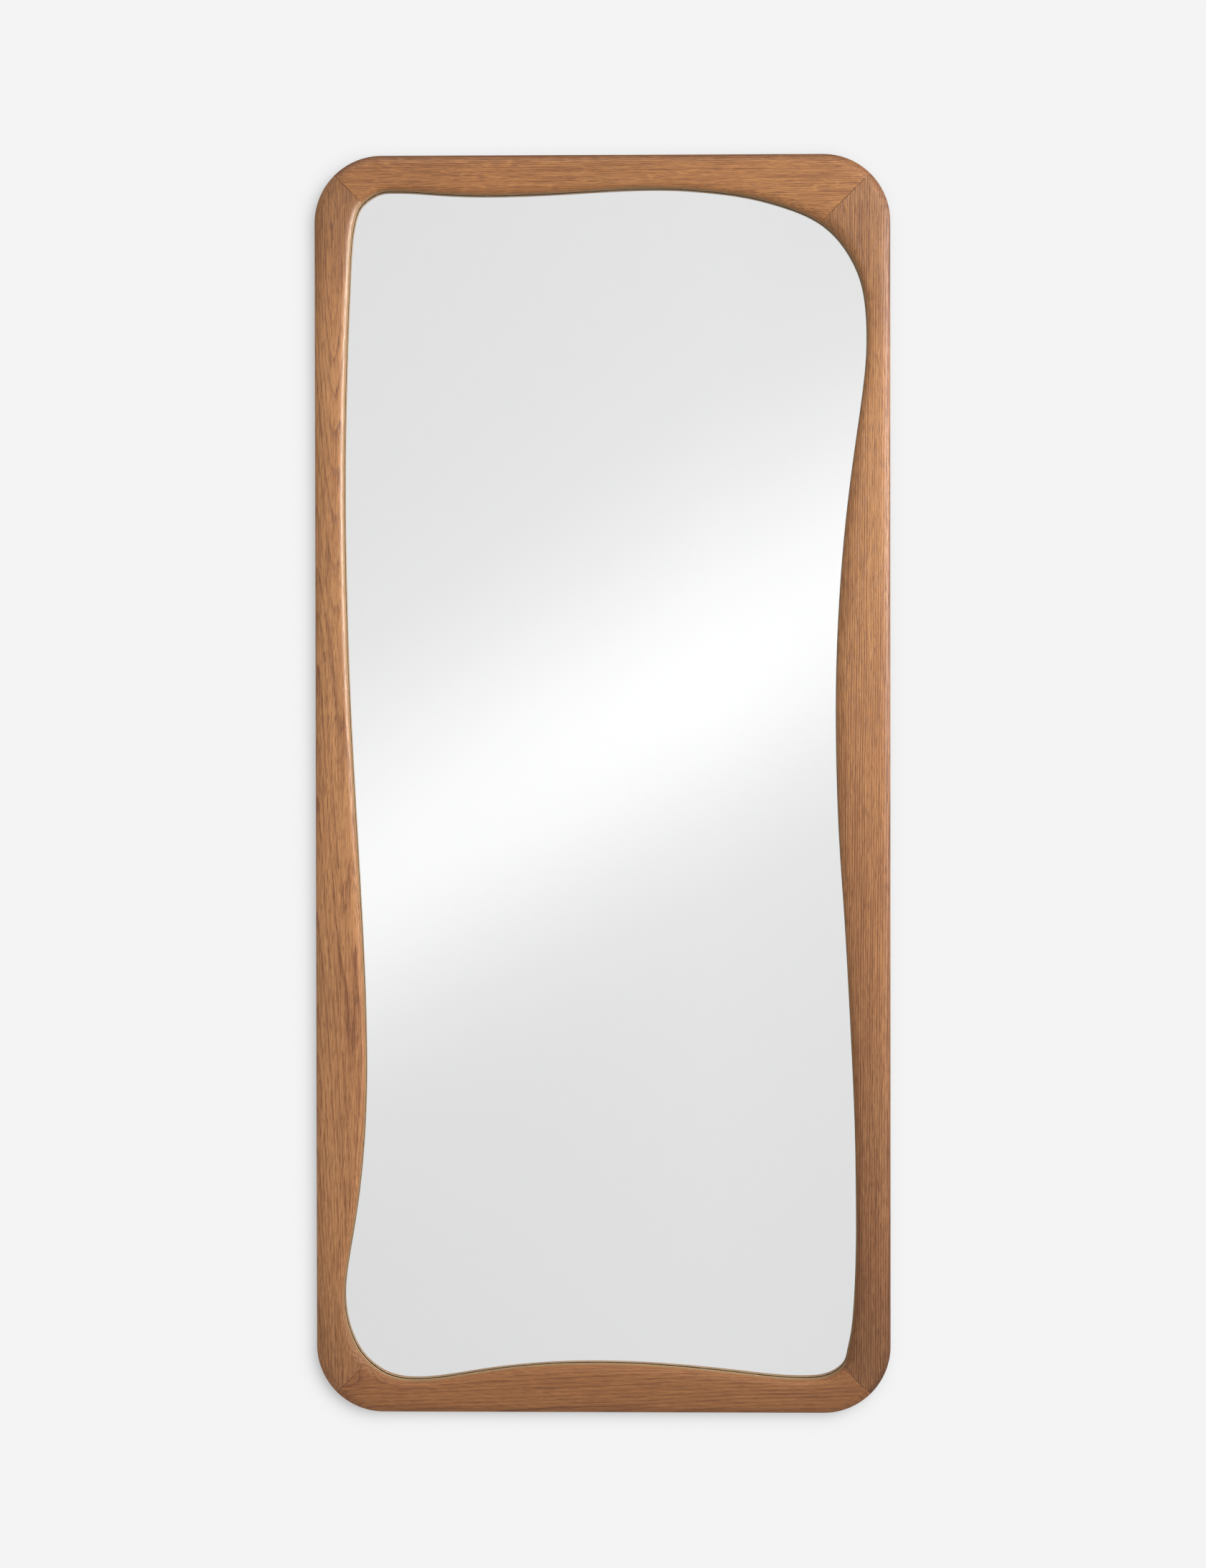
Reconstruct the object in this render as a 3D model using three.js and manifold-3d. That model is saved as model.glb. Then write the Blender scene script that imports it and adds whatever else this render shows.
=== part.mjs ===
// A full-length wall mirror: an oak frame of four mitred members with a straight outer
// outline and a wavy carved opening, a sheet of silvered glass in a rebate behind it, and a
// backing board that turn buttons hold in.
//
// Millimetres. X runs across, Z is up and +Y points at the wall. The origin is the centre of
// the back, so the back of the frame and of the board is y = 0 and the face is at negative y.

import * as THREE from 'three';
import { mergeVertices } from 'three/addons/utils/BufferGeometryUtils.js';
import Module from 'manifold-3d';

const wasm = await Module();
wasm.setup();

// Overall size
const WIDTH = 812.8;
const HEIGHT = 1778;
const DEPTH = 38;
const CORNER_RADIUS = 95;
const CLEARANCE = 0.3;

// Frame section
const LAND = 22;
const LIP = 18;
const CROWN = 2;
const BACK_EASE = 1.5;
const OUTER_ROUND = 14;
const OUTER_DROP = 10;
const INNER_ROUND_SHARE = 0.18;
const INNER_ROUND_MIN = 7;
const INNER_ROUND_MAX = 18;
const INNER_DROP_BASE = 3;
const INNER_DROP_SHARE = 0.5;

// How far the opening stands in from both outer sides where it crosses each mitre
const CORNER_INSETS = { topLeft: 67, topRight: 97, bottomRight: 66.5, bottomLeft: 71 };

// Width of each member, as [place along the side, width] pairs. Places count from the middle
// of the side and run clockwise as seen from the front.
const TOP_WIDTHS = [
  [-318, 52], [-296, 49], [-265, 50], [-225, 53], [-170, 55], [-105, 54], [-40, 51],
  [25, 47.5], [90, 46.5], [145, 50], [198, 57], [243, 68], [280, 81],
];
const RIGHT_WIDTHS = [
  [-768, 71], [-735, 50], [-700, 38], [-658, 33], [-608, 33], [-545, 39.5], [-460, 51.5],
  [-360, 63.5], [-250, 72], [-140, 76], [-30, 75.5], [80, 71.5], [185, 64.5], [290, 58.5],
  [390, 53.5], [490, 49.5], [580, 48], [660, 48], [728, 50.5], [775, 54.5], [803, 60],
];
const BOTTOM_WIDTHS = [
  [-319, 52], [-289, 47.5], [-245, 49], [-190, 55], [-120, 62], [-45, 67], [30, 68],
  [95, 65], [155, 58.5], [205, 50.5], [245, 45], [280, 44.5], [310, 52.5],
];
const LEFT_WIDTHS = [
  [-795, 54.5], [-765, 43], [-732, 38.5], [-695, 40.5], [-643, 49], [-565, 60.5],
  [-470, 68], [-375, 69.5], [-260, 66.5], [-130, 60], [5, 52.5], [140, 46], [280, 42],
  [415, 40.5], [535, 42], [635, 45], [715, 48.5], [768, 51.5], [801, 57],
];

// Loose tenons that cross the mitres inside the lip
const TENON_LENGTH = 44;
const TENON_WIDTH = 22;
const TENON_THICKNESS = 6;
const TENON_SINK = 9;
const TENON_FROM_EDGE = 24;

// Sheets in the rebate, from the lip to the back
const SHEET_GAP = 1;
const GLASS = 5;
const SILVERING = 0.3;
const BOARD = 9;

// Turn buttons and their screws
const BUTTON_REACH = 23;
const BUTTON_TAIL = 7;
const BUTTON_WIDTH = 12;
const BUTTON_THICKNESS = 1.5;
const STILE_BUTTON_HEIGHTS = [660, 0, -660];

// Round-headed wood screws
const SCREW_HEAD_RADIUS = 3.6;
const SCREW_HEAD = 2.2;
const SCREW_SHANK_RADIUS = 1.6;
const SCREW_LENGTH = 15;
const PILOT_RADIUS = 2;
const PILOT_DEPTH = 17;
const SCREW_SIDES = 10;

// Strap hangers with a D ring each
const HANGER_HEIGHT = 480;
const STRAP_WIDTH = 13;
const STRAP_LENGTH = 74;
const STRAP_THICKNESS = 1.2;
const CURL_RADIUS = 3;
const CURL_END = -118;
const STRAP_HOLES = [22, 42, 62];
const RING_WIRE_RADIUS = 1.5;
const RING_HALF_WIDTH = 8.7;
const RING_SIDE = 6;

// Rubber bumpers that keep the frame off the wall
const BUMPER_HEIGHT = 8;
const BUMPER_RADIUS = 7;
const BUMPER_PLACES = 770;

// Fineness of the faceted solids
const SPLINE_STEPS = 24;
const FAN_REACH = 55;
const FAN_STEPS = 6;
const STATION_PITCH = 42;
const ROUND_STEPS = 3;
const FACE_STEPS = 3;
const ARC_STEPS = 10;
const WIRE_SIDES = 8;

const LAND_MIDDLE = LAND / 2;
const HALF_WIDTH = WIDTH / 2;
const HALF_HEIGHT = HEIGHT / 2;
const REBATE_FLOOR = LIP - DEPTH;

const MATERIALS = {
  oak: new THREE.MeshStandardMaterial({ color: '#ab7a50', roughness: 0.55, metalness: 0 }),
  tenon: new THREE.MeshStandardMaterial({ color: '#d2b48a', roughness: 0.7, metalness: 0 }),
  glass: new THREE.MeshStandardMaterial({ color: '#dfe8e4', roughness: 0.03, metalness: 0 }),
  silver: new THREE.MeshStandardMaterial({ color: '#e2e4e5', roughness: 0.02, metalness: 1 }),
  cardboard: new THREE.MeshStandardMaterial({ color: '#a98a62', roughness: 0.9, metalness: 0 }),
  board: new THREE.MeshStandardMaterial({ color: '#8d6b48', roughness: 0.85, metalness: 0 }),
  steel: new THREE.MeshStandardMaterial({ color: '#b9babd', roughness: 0.35, metalness: 1 }),
  rubber: new THREE.MeshStandardMaterial({ color: '#33312f', roughness: 0.85, metalness: 0 }),
};

const mirror = new THREE.Group();

// Adds a named piece to the mirror, set down at `place` and turned about Y by `turn`.
function addPiece(name, geometry, material, place = [0, 0, 0], turn = 0) {
  const mesh = new THREE.Mesh(geometry, material);
  mesh.name = name;
  mesh.position.set(...place);
  mesh.rotation.y = turn;
  mirror.add(mesh);
}

// ---------------------------------------------------------------------------------------
// Solids: closed geometries to and from manifold-3d, and rings of points made into a skin
// ---------------------------------------------------------------------------------------

function toSolid(geometry) {
  const bare = geometry.clone();
  bare.deleteAttribute('normal');
  bare.deleteAttribute('uv');
  const merged = mergeVertices(bare);
  return new wasm.Manifold(new wasm.Mesh({
    numProp: 3,
    vertProperties: new Float32Array(merged.attributes.position.array),
    triVerts: new Uint32Array(merged.index.array),
  }));
}

function toGeometry(solid) {
  const mesh = solid.getMesh();
  const geometry = new THREE.BufferGeometry();
  geometry.setAttribute('position', new THREE.BufferAttribute(mesh.vertProperties, 3));
  geometry.setIndex(new THREE.BufferAttribute(mesh.triVerts, 1));
  geometry.computeVertexNormals();
  return geometry;
}

// Joins rings of points, each a list of Vector3 of the same length, into a closed skin. The
// last ring joins the first when `closed`; otherwise `caps` gives the end faces' triangles.
function skin(rings, closed, caps = []) {
  const count = rings[0].length;
  const geometry = new THREE.BufferGeometry();
  geometry.setFromPoints(rings.flat());
  const index = [];
  const bands = closed ? rings.length : rings.length - 1;
  for (let ring = 0; ring < bands; ring += 1) {
    const here = ring * count;
    const next = ((ring + 1) % rings.length) * count;
    for (let i = 0; i < count; i += 1) {
      const j = (i + 1) % count;
      index.push(here + i, here + j, next + j);
      index.push(here + i, next + j, next + i);
    }
  }
  const last = (rings.length - 1) * count;
  for (const [a, b, c] of caps) {
    index.push(a, c, b);
    index.push(last + a, last + b, last + c);
  }
  geometry.setIndex(index);
  geometry.computeVertexNormals();
  return geometry;
}

// A flat sheet: an outline in X and Z, `thickness` deep in front of the plane y = back.
function sheet(shape, thickness, back = 0) {
  const geometry = new THREE.ExtrudeGeometry(shape, {
    depth: thickness,
    bevelEnabled: false,
    curveSegments: ARC_STEPS,
  });
  geometry.rotateX(Math.PI / 2);
  geometry.translate(0, back, 0);
  return geometry;
}

// ---------------------------------------------------------------------------------------
// Outlines in plan, as seen from the front. Each side of the frame has its own coordinates:
// `along` runs clockwise from the middle of the side and `inset` runs in from its edge.
// ---------------------------------------------------------------------------------------

const SIDES = [
  {
    name: 'top_rail', along: [1, 0], out: [0, 1], half: HALF_WIDTH, across: HALF_HEIGHT,
    widths: TOP_WIDTHS, start: CORNER_INSETS.topLeft, end: CORNER_INSETS.topRight,
  },
  {
    name: 'right_stile', along: [0, -1], out: [1, 0], half: HALF_HEIGHT, across: HALF_WIDTH,
    widths: RIGHT_WIDTHS, start: CORNER_INSETS.topRight, end: CORNER_INSETS.bottomRight,
  },
  {
    name: 'bottom_rail', along: [-1, 0], out: [0, -1], half: HALF_WIDTH, across: HALF_HEIGHT,
    widths: BOTTOM_WIDTHS, start: CORNER_INSETS.bottomRight, end: CORNER_INSETS.bottomLeft,
  },
  {
    name: 'left_stile', along: [0, 1], out: [-1, 0], half: HALF_HEIGHT, across: HALF_WIDTH,
    widths: LEFT_WIDTHS, start: CORNER_INSETS.bottomLeft, end: CORNER_INSETS.topLeft,
  },
];

function toPlan(side, along, inset) {
  const reach = side.across - inset;
  return new THREE.Vector2(
    side.along[0] * along + side.out[0] * reach,
    side.along[1] * along + side.out[1] * reach,
  );
}

function toSide(side, point) {
  const along = point.x * side.along[0] + point.y * side.along[1];
  const reach = point.x * side.out[0] + point.y * side.out[1];
  return { along, inset: side.across - reach };
}

// Smooth closed cubic B-spline through the knots, as one list of points for each side. The
// control points are relaxed until the curve passes through every knot.
function openingPaths() {
  const knots = [];
  const firstKnots = [];
  for (const side of SIDES) {
    firstKnots.push(knots.length);
    knots.push(toPlan(side, -side.half + side.start, side.start));
    for (const [along, width] of side.widths) {
      knots.push(toPlan(side, along, width));
    }
  }
  const count = knots.length;
  const controls = knots.map((knot) => knot.clone());
  for (let pass = 0; pass < 40; pass += 1) {
    for (let i = 0; i < count; i += 1) {
      const before = controls[(i + count - 1) % count];
      const after = controls[(i + 1) % count];
      controls[i].copy(knots[i]).multiplyScalar(6).sub(before).sub(after).divideScalar(4);
    }
  }
  return SIDES.map((side, number) => {
    const first = firstKnots[number];
    const last = number + 1 < SIDES.length ? firstKnots[number + 1] : count;
    const path = [];
    for (let i = first; i < last; i += 1) {
      for (let step = 0; step < SPLINE_STEPS; step += 1) {
        path.push(splinePoint(controls, i, step / SPLINE_STEPS));
      }
    }
    path.push(knots[last % count].clone());
    return path;
  });
}

function splinePoint(controls, i, t) {
  const count = controls.length;
  const weights = [
    (1 - t) ** 3,
    3 * t ** 3 - 6 * t ** 2 + 4,
    -3 * t ** 3 + 3 * t ** 2 + 3 * t + 1,
    t ** 3,
  ];
  const point = new THREE.Vector2();
  weights.forEach((weight, k) => {
    point.addScaledVector(controls[(i + k - 1 + count) % count], weight / 6);
  });
  return point;
}

// Distance from a point to the rounded outer outline, measured inwards
function depthFromEdge(point) {
  const x = Math.abs(point.x) - (HALF_WIDTH - CORNER_RADIUS);
  const z = Math.abs(point.y) - (HALF_HEIGHT - CORNER_RADIUS);
  if (x > 0 && z > 0) {
    return CORNER_RADIUS - Math.hypot(x, z);
  }
  return CORNER_RADIUS - Math.max(x, z);
}

function distanceToPath(point, path) {
  let best = Infinity;
  for (let i = 0; i + 1 < path.length; i += 1) {
    const dx = path[i + 1].x - path[i].x;
    const dz = path[i + 1].y - path[i].y;
    const share = ((point.x - path[i].x) * dx + (point.y - path[i].y) * dz) / (dx * dx + dz * dz);
    const t = Math.min(1, Math.max(0, share));
    const gap = Math.hypot(point.x - path[i].x - t * dx, point.y - path[i].y - t * dz);
    best = Math.min(best, gap);
  }
  return best;
}

// Half of a corner, from the mitre to `reach` past the end of its arc, `inset` inside the
// outer outline, in one side's coordinates. `end` is -1 for the side's start, 1 for its end.
function cornerPath(side, inset, end, reach) {
  const radius = CORNER_RADIUS - inset;
  const centre = side.half - CORNER_RADIUS;
  const path = [];
  for (let step = 0; step <= ARC_STEPS; step += 1) {
    const angle = (Math.PI / 4) * (1 - step / ARC_STEPS);
    const along = centre + radius * Math.sin(angle);
    path.push(toPlan(side, end * along, CORNER_RADIUS - radius * Math.cos(angle)));
  }
  path.push(toPlan(side, end * (centre - reach), inset));
  return path;
}

function pointAtShare(path, share) {
  const lengths = path.slice(1).map((point, i) => point.distanceTo(path[i]));
  let left = share * lengths.reduce((sum, length) => sum + length, 0);
  for (let i = 0; i < lengths.length; i += 1) {
    if (left <= lengths[i]) {
      return path[i].clone().lerp(path[i + 1], left / lengths[i]);
    }
    left -= lengths[i];
  }
  return path[path.length - 1].clone();
}

// The point where a side's stretch of the opening passes a place along that side
function openingAt(side, path, along) {
  for (let i = 0; i + 1 < path.length; i += 1) {
    const here = toSide(side, path[i]).along;
    const next = toSide(side, path[i + 1]).along;
    if (here <= along && along <= next) {
      return path[i].clone().lerp(path[i + 1], (along - here) / (next - here));
    }
  }
  throw new Error(`the opening never reaches ${along} along ${side.name}`);
}

// ---------------------------------------------------------------------------------------
// Frame members
// ---------------------------------------------------------------------------------------

// Stations along one side, from mitre to mitre: the outer edge, the rebate's edge and the
// opening at each. They fan out round the corners and are square to the side between them.
function stationsAlong(side, opening) {
  const straightEnd = side.half - CORNER_RADIUS - FAN_REACH;
  const fans = [-1, 1].map((end) => {
    const limit = openingAt(side, opening, end * straightEnd);
    const inner = opening.filter((point) => end * toSide(side, point).along > straightEnd);
    const corner = end < 0 ? [...inner, limit] : [...inner.reverse(), limit];
    const outer = cornerPath(side, 0, end, FAN_REACH);
    const rebate = cornerPath(side, LAND, end, FAN_REACH);
    const stations = [];
    for (let step = 0; step < FAN_STEPS; step += 1) {
      const share = step / FAN_STEPS;
      stations.push([outer, rebate, corner].map((path) => pointAtShare(path, share)));
    }
    return stations;
  });
  const straight = [];
  const count = Math.round((2 * straightEnd) / STATION_PITCH);
  for (let step = 0; step <= count; step += 1) {
    const along = straightEnd * (2 * (step / count) - 1);
    straight.push([
      toPlan(side, along, 0),
      toPlan(side, along, LAND),
      openingAt(side, opening, along),
    ]);
  }
  return [...fans[0], ...straight, ...fans[1].reverse()];
}

// Rise of a quarter ellipse above its lowest point, `distance` in from its outer end
function roundingDrop(distance, width, drop) {
  if (distance >= width) {
    return 0;
  }
  return drop * (1 - Math.sqrt(1 - (1 - distance / width) ** 2));
}

function innerRound(width) {
  return Math.min(INNER_ROUND_MAX, Math.max(INNER_ROUND_MIN, INNER_ROUND_SHARE * width));
}

// Y of the carved front at a distance from the outer edge and from the opening
function frontAt(fromEdge, fromOpening) {
  const width = fromEdge + fromOpening;
  const lean = (fromEdge - fromOpening) / width;
  const inner = innerRound(width);
  const innerDrop = INNER_DROP_BASE + INNER_DROP_SHARE * inner;
  return CROWN * lean ** 2 - DEPTH
    + roundingDrop(fromEdge, OUTER_ROUND, OUTER_DROP)
    + roundingDrop(fromOpening, inner, innerDrop);
}

// One section of a member, as a ring of points that starts at the rebate's back edge
function sectionRing([outer, rebate, inner], opening) {
  const width = outer.distanceTo(inner);
  const inwards = inner.clone().sub(outer).divideScalar(width);
  const roundWidth = innerRound(width);
  const offsets = [];
  for (let step = 0; step <= ROUND_STEPS; step += 1) {
    offsets.push(OUTER_ROUND * (1 - Math.cos((Math.PI / 2) * (step / ROUND_STEPS))));
  }
  const face = width - roundWidth - OUTER_ROUND;
  for (let step = 1; step < FACE_STEPS; step += 1) {
    offsets.push(OUTER_ROUND + face * (step / FACE_STEPS));
  }
  for (let step = ROUND_STEPS; step >= 0; step -= 1) {
    offsets.push(width - roundWidth * (1 - Math.cos((Math.PI / 2) * (step / ROUND_STEPS))));
  }
  const front = offsets.map((offset) => {
    const point = outer.clone().addScaledVector(inwards, offset);
    const fromEdge = Math.max(0, depthFromEdge(point));
    return [point, frontAt(fromEdge, distanceToPath(point, opening))];
  });
  const eased = outer.clone().addScaledVector(inwards, BACK_EASE);
  const ring = [
    [rebate, 0],
    [eased, 0],
    [outer, -BACK_EASE],
    ...front,
    [inner, REBATE_FLOOR],
    [rebate, REBATE_FLOOR],
  ];
  return ring.map(([point, y]) => new THREE.Vector3(point.x, y, point.y));
}

function memberSolid(side, opening, wholeOpening) {
  const rings = stationsAlong(side, opening)
    .map((station) => sectionRing(station, wholeOpening));
  const corner = new THREE.Vector2(rings[0][0].x, rings[0][0].z);
  const contour = rings[0].map((point) => {
    const across = corner.distanceTo(new THREE.Vector2(point.x, point.z));
    const outside = depthFromEdge(new THREE.Vector2(point.x, point.z)) < LAND;
    return new THREE.Vector2(outside ? -across : across, point.y);
  });
  const caps = THREE.ShapeUtils.triangulateShape(contour, []);
  return toSolid(skin(rings, false, caps));
}

// ---------------------------------------------------------------------------------------
// Joinery and hardware shapes
// ---------------------------------------------------------------------------------------

// A flat bar with round edges that runs along X, as a loose tenon or the mortise for it
function tenonGeometry(grow) {
  const radius = TENON_THICKNESS / 2 + grow;
  const shoulder = (TENON_WIDTH - TENON_THICKNESS) / 2;
  const length = TENON_LENGTH + 2 * grow;
  const shape = new THREE.Shape();
  shape.absarc(shoulder, 0, radius, -Math.PI / 2, Math.PI / 2, false);
  shape.absarc(-shoulder, 0, radius, Math.PI / 2, (3 * Math.PI) / 2, false);
  const geometry = new THREE.ExtrudeGeometry(shape, {
    depth: length,
    bevelEnabled: false,
    curveSegments: 4,
  });
  geometry.translate(0, 0, -length / 2);
  geometry.rotateY(Math.PI / 2);
  return geometry;
}

// Where a corner's tenon sits and how far it turns about Y. `right` and `up` are 1 or -1.
function tenonPose(right, up) {
  const arcMiddle = CORNER_RADIUS * (1 - Math.SQRT1_2);
  const inset = arcMiddle + TENON_FROM_EDGE * Math.SQRT1_2;
  const place = [right * (HALF_WIDTH - inset), TENON_SINK - DEPTH, up * (HALF_HEIGHT - inset)];
  return { place, turn: (right * up * Math.PI) / 4 };
}

function roundedSheetShape(inset) {
  const radius = CORNER_RADIUS - inset;
  const x = HALF_WIDTH - CORNER_RADIUS;
  const z = HALF_HEIGHT - CORNER_RADIUS;
  const shape = new THREE.Shape();
  shape.absarc(x, z, radius, 0, Math.PI / 2, false);
  shape.absarc(-x, z, radius, Math.PI / 2, Math.PI, false);
  shape.absarc(-x, -z, radius, Math.PI, (3 * Math.PI) / 2, false);
  shape.absarc(x, -z, radius, (3 * Math.PI) / 2, 2 * Math.PI, false);
  return shape;
}

// A turn button at rest: its long end points along +X and its screw hole is at the origin.
function buttonGeometry() {
  const radius = BUTTON_WIDTH / 2;
  const shape = new THREE.Shape();
  shape.absarc(BUTTON_REACH - radius, 0, radius, -Math.PI / 2, Math.PI / 2, false);
  shape.absarc(radius - BUTTON_TAIL, 0, radius, Math.PI / 2, (3 * Math.PI) / 2, false);
  const hole = new THREE.Path();
  hole.absarc(0, 0, PILOT_RADIUS, 0, 2 * Math.PI, true);
  shape.holes.push(hole);
  const geometry = new THREE.ExtrudeGeometry(shape, {
    depth: BUTTON_THICKNESS,
    bevelEnabled: false,
    curveSegments: SCREW_SIDES / 2,
  });
  geometry.rotateX(Math.PI / 2);
  geometry.translate(0, BUTTON_THICKNESS, 0);
  return geometry;
}

// A screw that points into the frame, with the underside of its head at y = 0
function screwGeometry() {
  const tip = 4;
  const profile = [
    [0, -SCREW_LENGTH],
    [SCREW_SHANK_RADIUS, tip - SCREW_LENGTH],
    [SCREW_SHANK_RADIUS, 0],
    [SCREW_HEAD_RADIUS, 0],
    [0.92 * SCREW_HEAD_RADIUS, 0.5 * SCREW_HEAD],
    [0.6 * SCREW_HEAD_RADIUS, 0.9 * SCREW_HEAD],
    [0, SCREW_HEAD],
  ];
  const points = profile.map(([radius, y]) => new THREE.Vector2(radius, y));
  return new THREE.LatheGeometry(points, SCREW_SIDES);
}

// A steel strap that curls round the ring's bar at the top and has three screw holes below
function strapGeometry() {
  const inner = CURL_RADIUS - STRAP_THICKNESS;
  const end = THREE.MathUtils.degToRad(CURL_END);
  const profile = new THREE.Shape();
  profile.moveTo(0, -STRAP_LENGTH);
  profile.absarc(CURL_RADIUS, 0, CURL_RADIUS, Math.PI, end, true);
  profile.absarc(CURL_RADIUS, 0, inner, end, Math.PI, false);
  profile.lineTo(STRAP_THICKNESS, -STRAP_LENGTH);
  const strap = new THREE.ExtrudeGeometry(profile, {
    depth: STRAP_WIDTH,
    bevelEnabled: false,
    curveSegments: ARC_STEPS,
  });
  // The profile's own X becomes Y, its Y becomes Z and the extrusion runs along X.
  strap.applyMatrix4(new THREE.Matrix4().set(
    0, 0, 1, -STRAP_WIDTH / 2,
    1, 0, 0, 0,
    0, 1, 0, 0,
    0, 0, 0, 1,
  ));
  let solid = toSolid(strap);
  for (const drop of STRAP_HOLES) {
    const hole = new THREE.CylinderGeometry(PILOT_RADIUS, PILOT_RADIUS, 8, SCREW_SIDES);
    hole.translate(0, 0, -drop);
    solid = solid.subtract(toSolid(hole));
  }
  return toGeometry(solid);
}

// A D ring that hangs from its straight bar, whose middle is the origin
function ringGeometry() {
  const path = [new THREE.Vector2(-RING_HALF_WIDTH, 0), new THREE.Vector2(RING_HALF_WIDTH, 0)];
  for (let step = 0; step <= ARC_STEPS; step += 1) {
    const angle = -Math.PI * (step / ARC_STEPS);
    path.push(new THREE.Vector2(
      RING_HALF_WIDTH * Math.cos(angle),
      RING_HALF_WIDTH * Math.sin(angle) - RING_SIDE,
    ));
  }
  const rings = path.map((point, i) => {
    const before = path[(i + path.length - 1) % path.length];
    const after = path[(i + 1) % path.length];
    const back = point.clone().sub(before).normalize();
    const ahead = after.clone().sub(point).normalize();
    const tangent = back.clone().add(ahead).normalize();
    const stretch = 1 / tangent.dot(ahead);
    const outwards = new THREE.Vector2(tangent.y, -tangent.x).multiplyScalar(stretch);
    const ring = [];
    for (let side = 0; side < WIRE_SIDES; side += 1) {
      const angle = (2 * Math.PI * side) / WIRE_SIDES;
      const swing = RING_WIRE_RADIUS * Math.cos(angle);
      ring.push(new THREE.Vector3(
        point.x + swing * outwards.x,
        RING_WIRE_RADIUS * Math.sin(angle),
        point.y + swing * outwards.y,
      ));
    }
    return ring;
  });
  return skin(rings, true);
}

function bumperGeometry() {
  const profile = [
    [0, 0],
    [BUMPER_RADIUS, 0],
    [0.95 * BUMPER_RADIUS, 0.8 * BUMPER_HEIGHT],
    [0.75 * BUMPER_RADIUS, BUMPER_HEIGHT],
    [0, BUMPER_HEIGHT],
  ];
  const points = profile.map(([radius, y]) => new THREE.Vector2(radius, y));
  return new THREE.LatheGeometry(points, 1.6 * SCREW_SIDES);
}

// ---------------------------------------------------------------------------------------
// Places that the frame's holes and the pieces share
// ---------------------------------------------------------------------------------------

const STILE_LINE = HALF_WIDTH - LAND_MIDDLE;
const RAIL_LINE = HALF_HEIGHT - LAND_MIDDLE;

const BUTTON_SPOTS = [
  ...STILE_BUTTON_HEIGHTS.map((z) => ({ x: -STILE_LINE, z, turn: 0 })),
  ...STILE_BUTTON_HEIGHTS.map((z) => ({ x: STILE_LINE, z, turn: Math.PI })),
  { x: 0, z: RAIL_LINE, turn: Math.PI / 2 },
  { x: 0, z: -RAIL_LINE, turn: -Math.PI / 2 },
];
const HANGER_SPOTS = [
  { side: 'left', x: -STILE_LINE },
  { side: 'right', x: STILE_LINE },
];
const TENON_SPOTS = [
  { corner: 'top_left', right: -1, up: 1 },
  { corner: 'top_right', right: 1, up: 1 },
  { corner: 'bottom_right', right: 1, up: -1 },
  { corner: 'bottom_left', right: -1, up: -1 },
];

// Every hole in the frame: a mortise at each mitre and a pilot hole for each screw
function frameHoles() {
  const holes = TENON_SPOTS.map(({ right, up }) => {
    const { place, turn } = tenonPose(right, up);
    const mortise = tenonGeometry(CLEARANCE);
    mortise.rotateY(turn);
    mortise.translate(...place);
    return toSolid(mortise);
  });
  const screws = BUTTON_SPOTS.map(({ x, z }) => [x, z]);
  for (const { x } of HANGER_SPOTS) {
    for (const drop of STRAP_HOLES) {
      screws.push([x, HANGER_HEIGHT - drop]);
    }
  }
  for (const [x, z] of screws) {
    const pilot = new THREE.CylinderGeometry(
      PILOT_RADIUS, PILOT_RADIUS, 2 * PILOT_DEPTH, SCREW_SIDES,
    );
    pilot.translate(x, 0, z);
    holes.push(toSolid(pilot));
  }
  return holes;
}

// ---------------------------------------------------------------------------------------
// The mirror
// ---------------------------------------------------------------------------------------

function addFrame() {
  const paths = openingPaths();
  const wholeOpening = paths.flatMap((path) => path.slice(1));
  wholeOpening.push(wholeOpening[0]);
  const holes = frameHoles();
  SIDES.forEach((side, number) => {
    let solid = memberSolid(side, paths[number], wholeOpening);
    for (const hole of holes) {
      solid = solid.subtract(hole);
    }
    addPiece(side.name, toGeometry(solid), MATERIALS.oak);
  });
  for (const { corner, right, up } of TENON_SPOTS) {
    const { place, turn } = tenonPose(right, up);
    addPiece(`tenon_${corner}`, tenonGeometry(0), MATERIALS.tenon, place, turn);
  }
}

function addSheets() {
  const shape = roundedSheetShape(LAND + SHEET_GAP);
  const glassBack = REBATE_FLOOR + CLEARANCE + GLASS;
  const silverBack = glassBack + CLEARANCE + SILVERING;
  const fillerBack = -BOARD - CLEARANCE;
  const filler = fillerBack - silverBack - CLEARANCE;
  addPiece('mirror_glass', sheet(shape, GLASS, glassBack), MATERIALS.glass);
  addPiece('mirror_silvering', sheet(shape, SILVERING, silverBack), MATERIALS.silver);
  addPiece('filler_sheet', sheet(shape, filler, fillerBack), MATERIALS.cardboard);
  addPiece('backing_board', sheet(shape, BOARD), MATERIALS.board);
}

function addButtons() {
  const headSeat = 2 * CLEARANCE + BUTTON_THICKNESS;
  BUTTON_SPOTS.forEach(({ x, z, turn }, i) => {
    addPiece(`turn_button_${i + 1}`, buttonGeometry(), MATERIALS.steel, [x, CLEARANCE, z], turn);
    addPiece(`button_screw_${i + 1}`, screwGeometry(), MATERIALS.steel, [x, headSeat, z]);
  });
}

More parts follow.
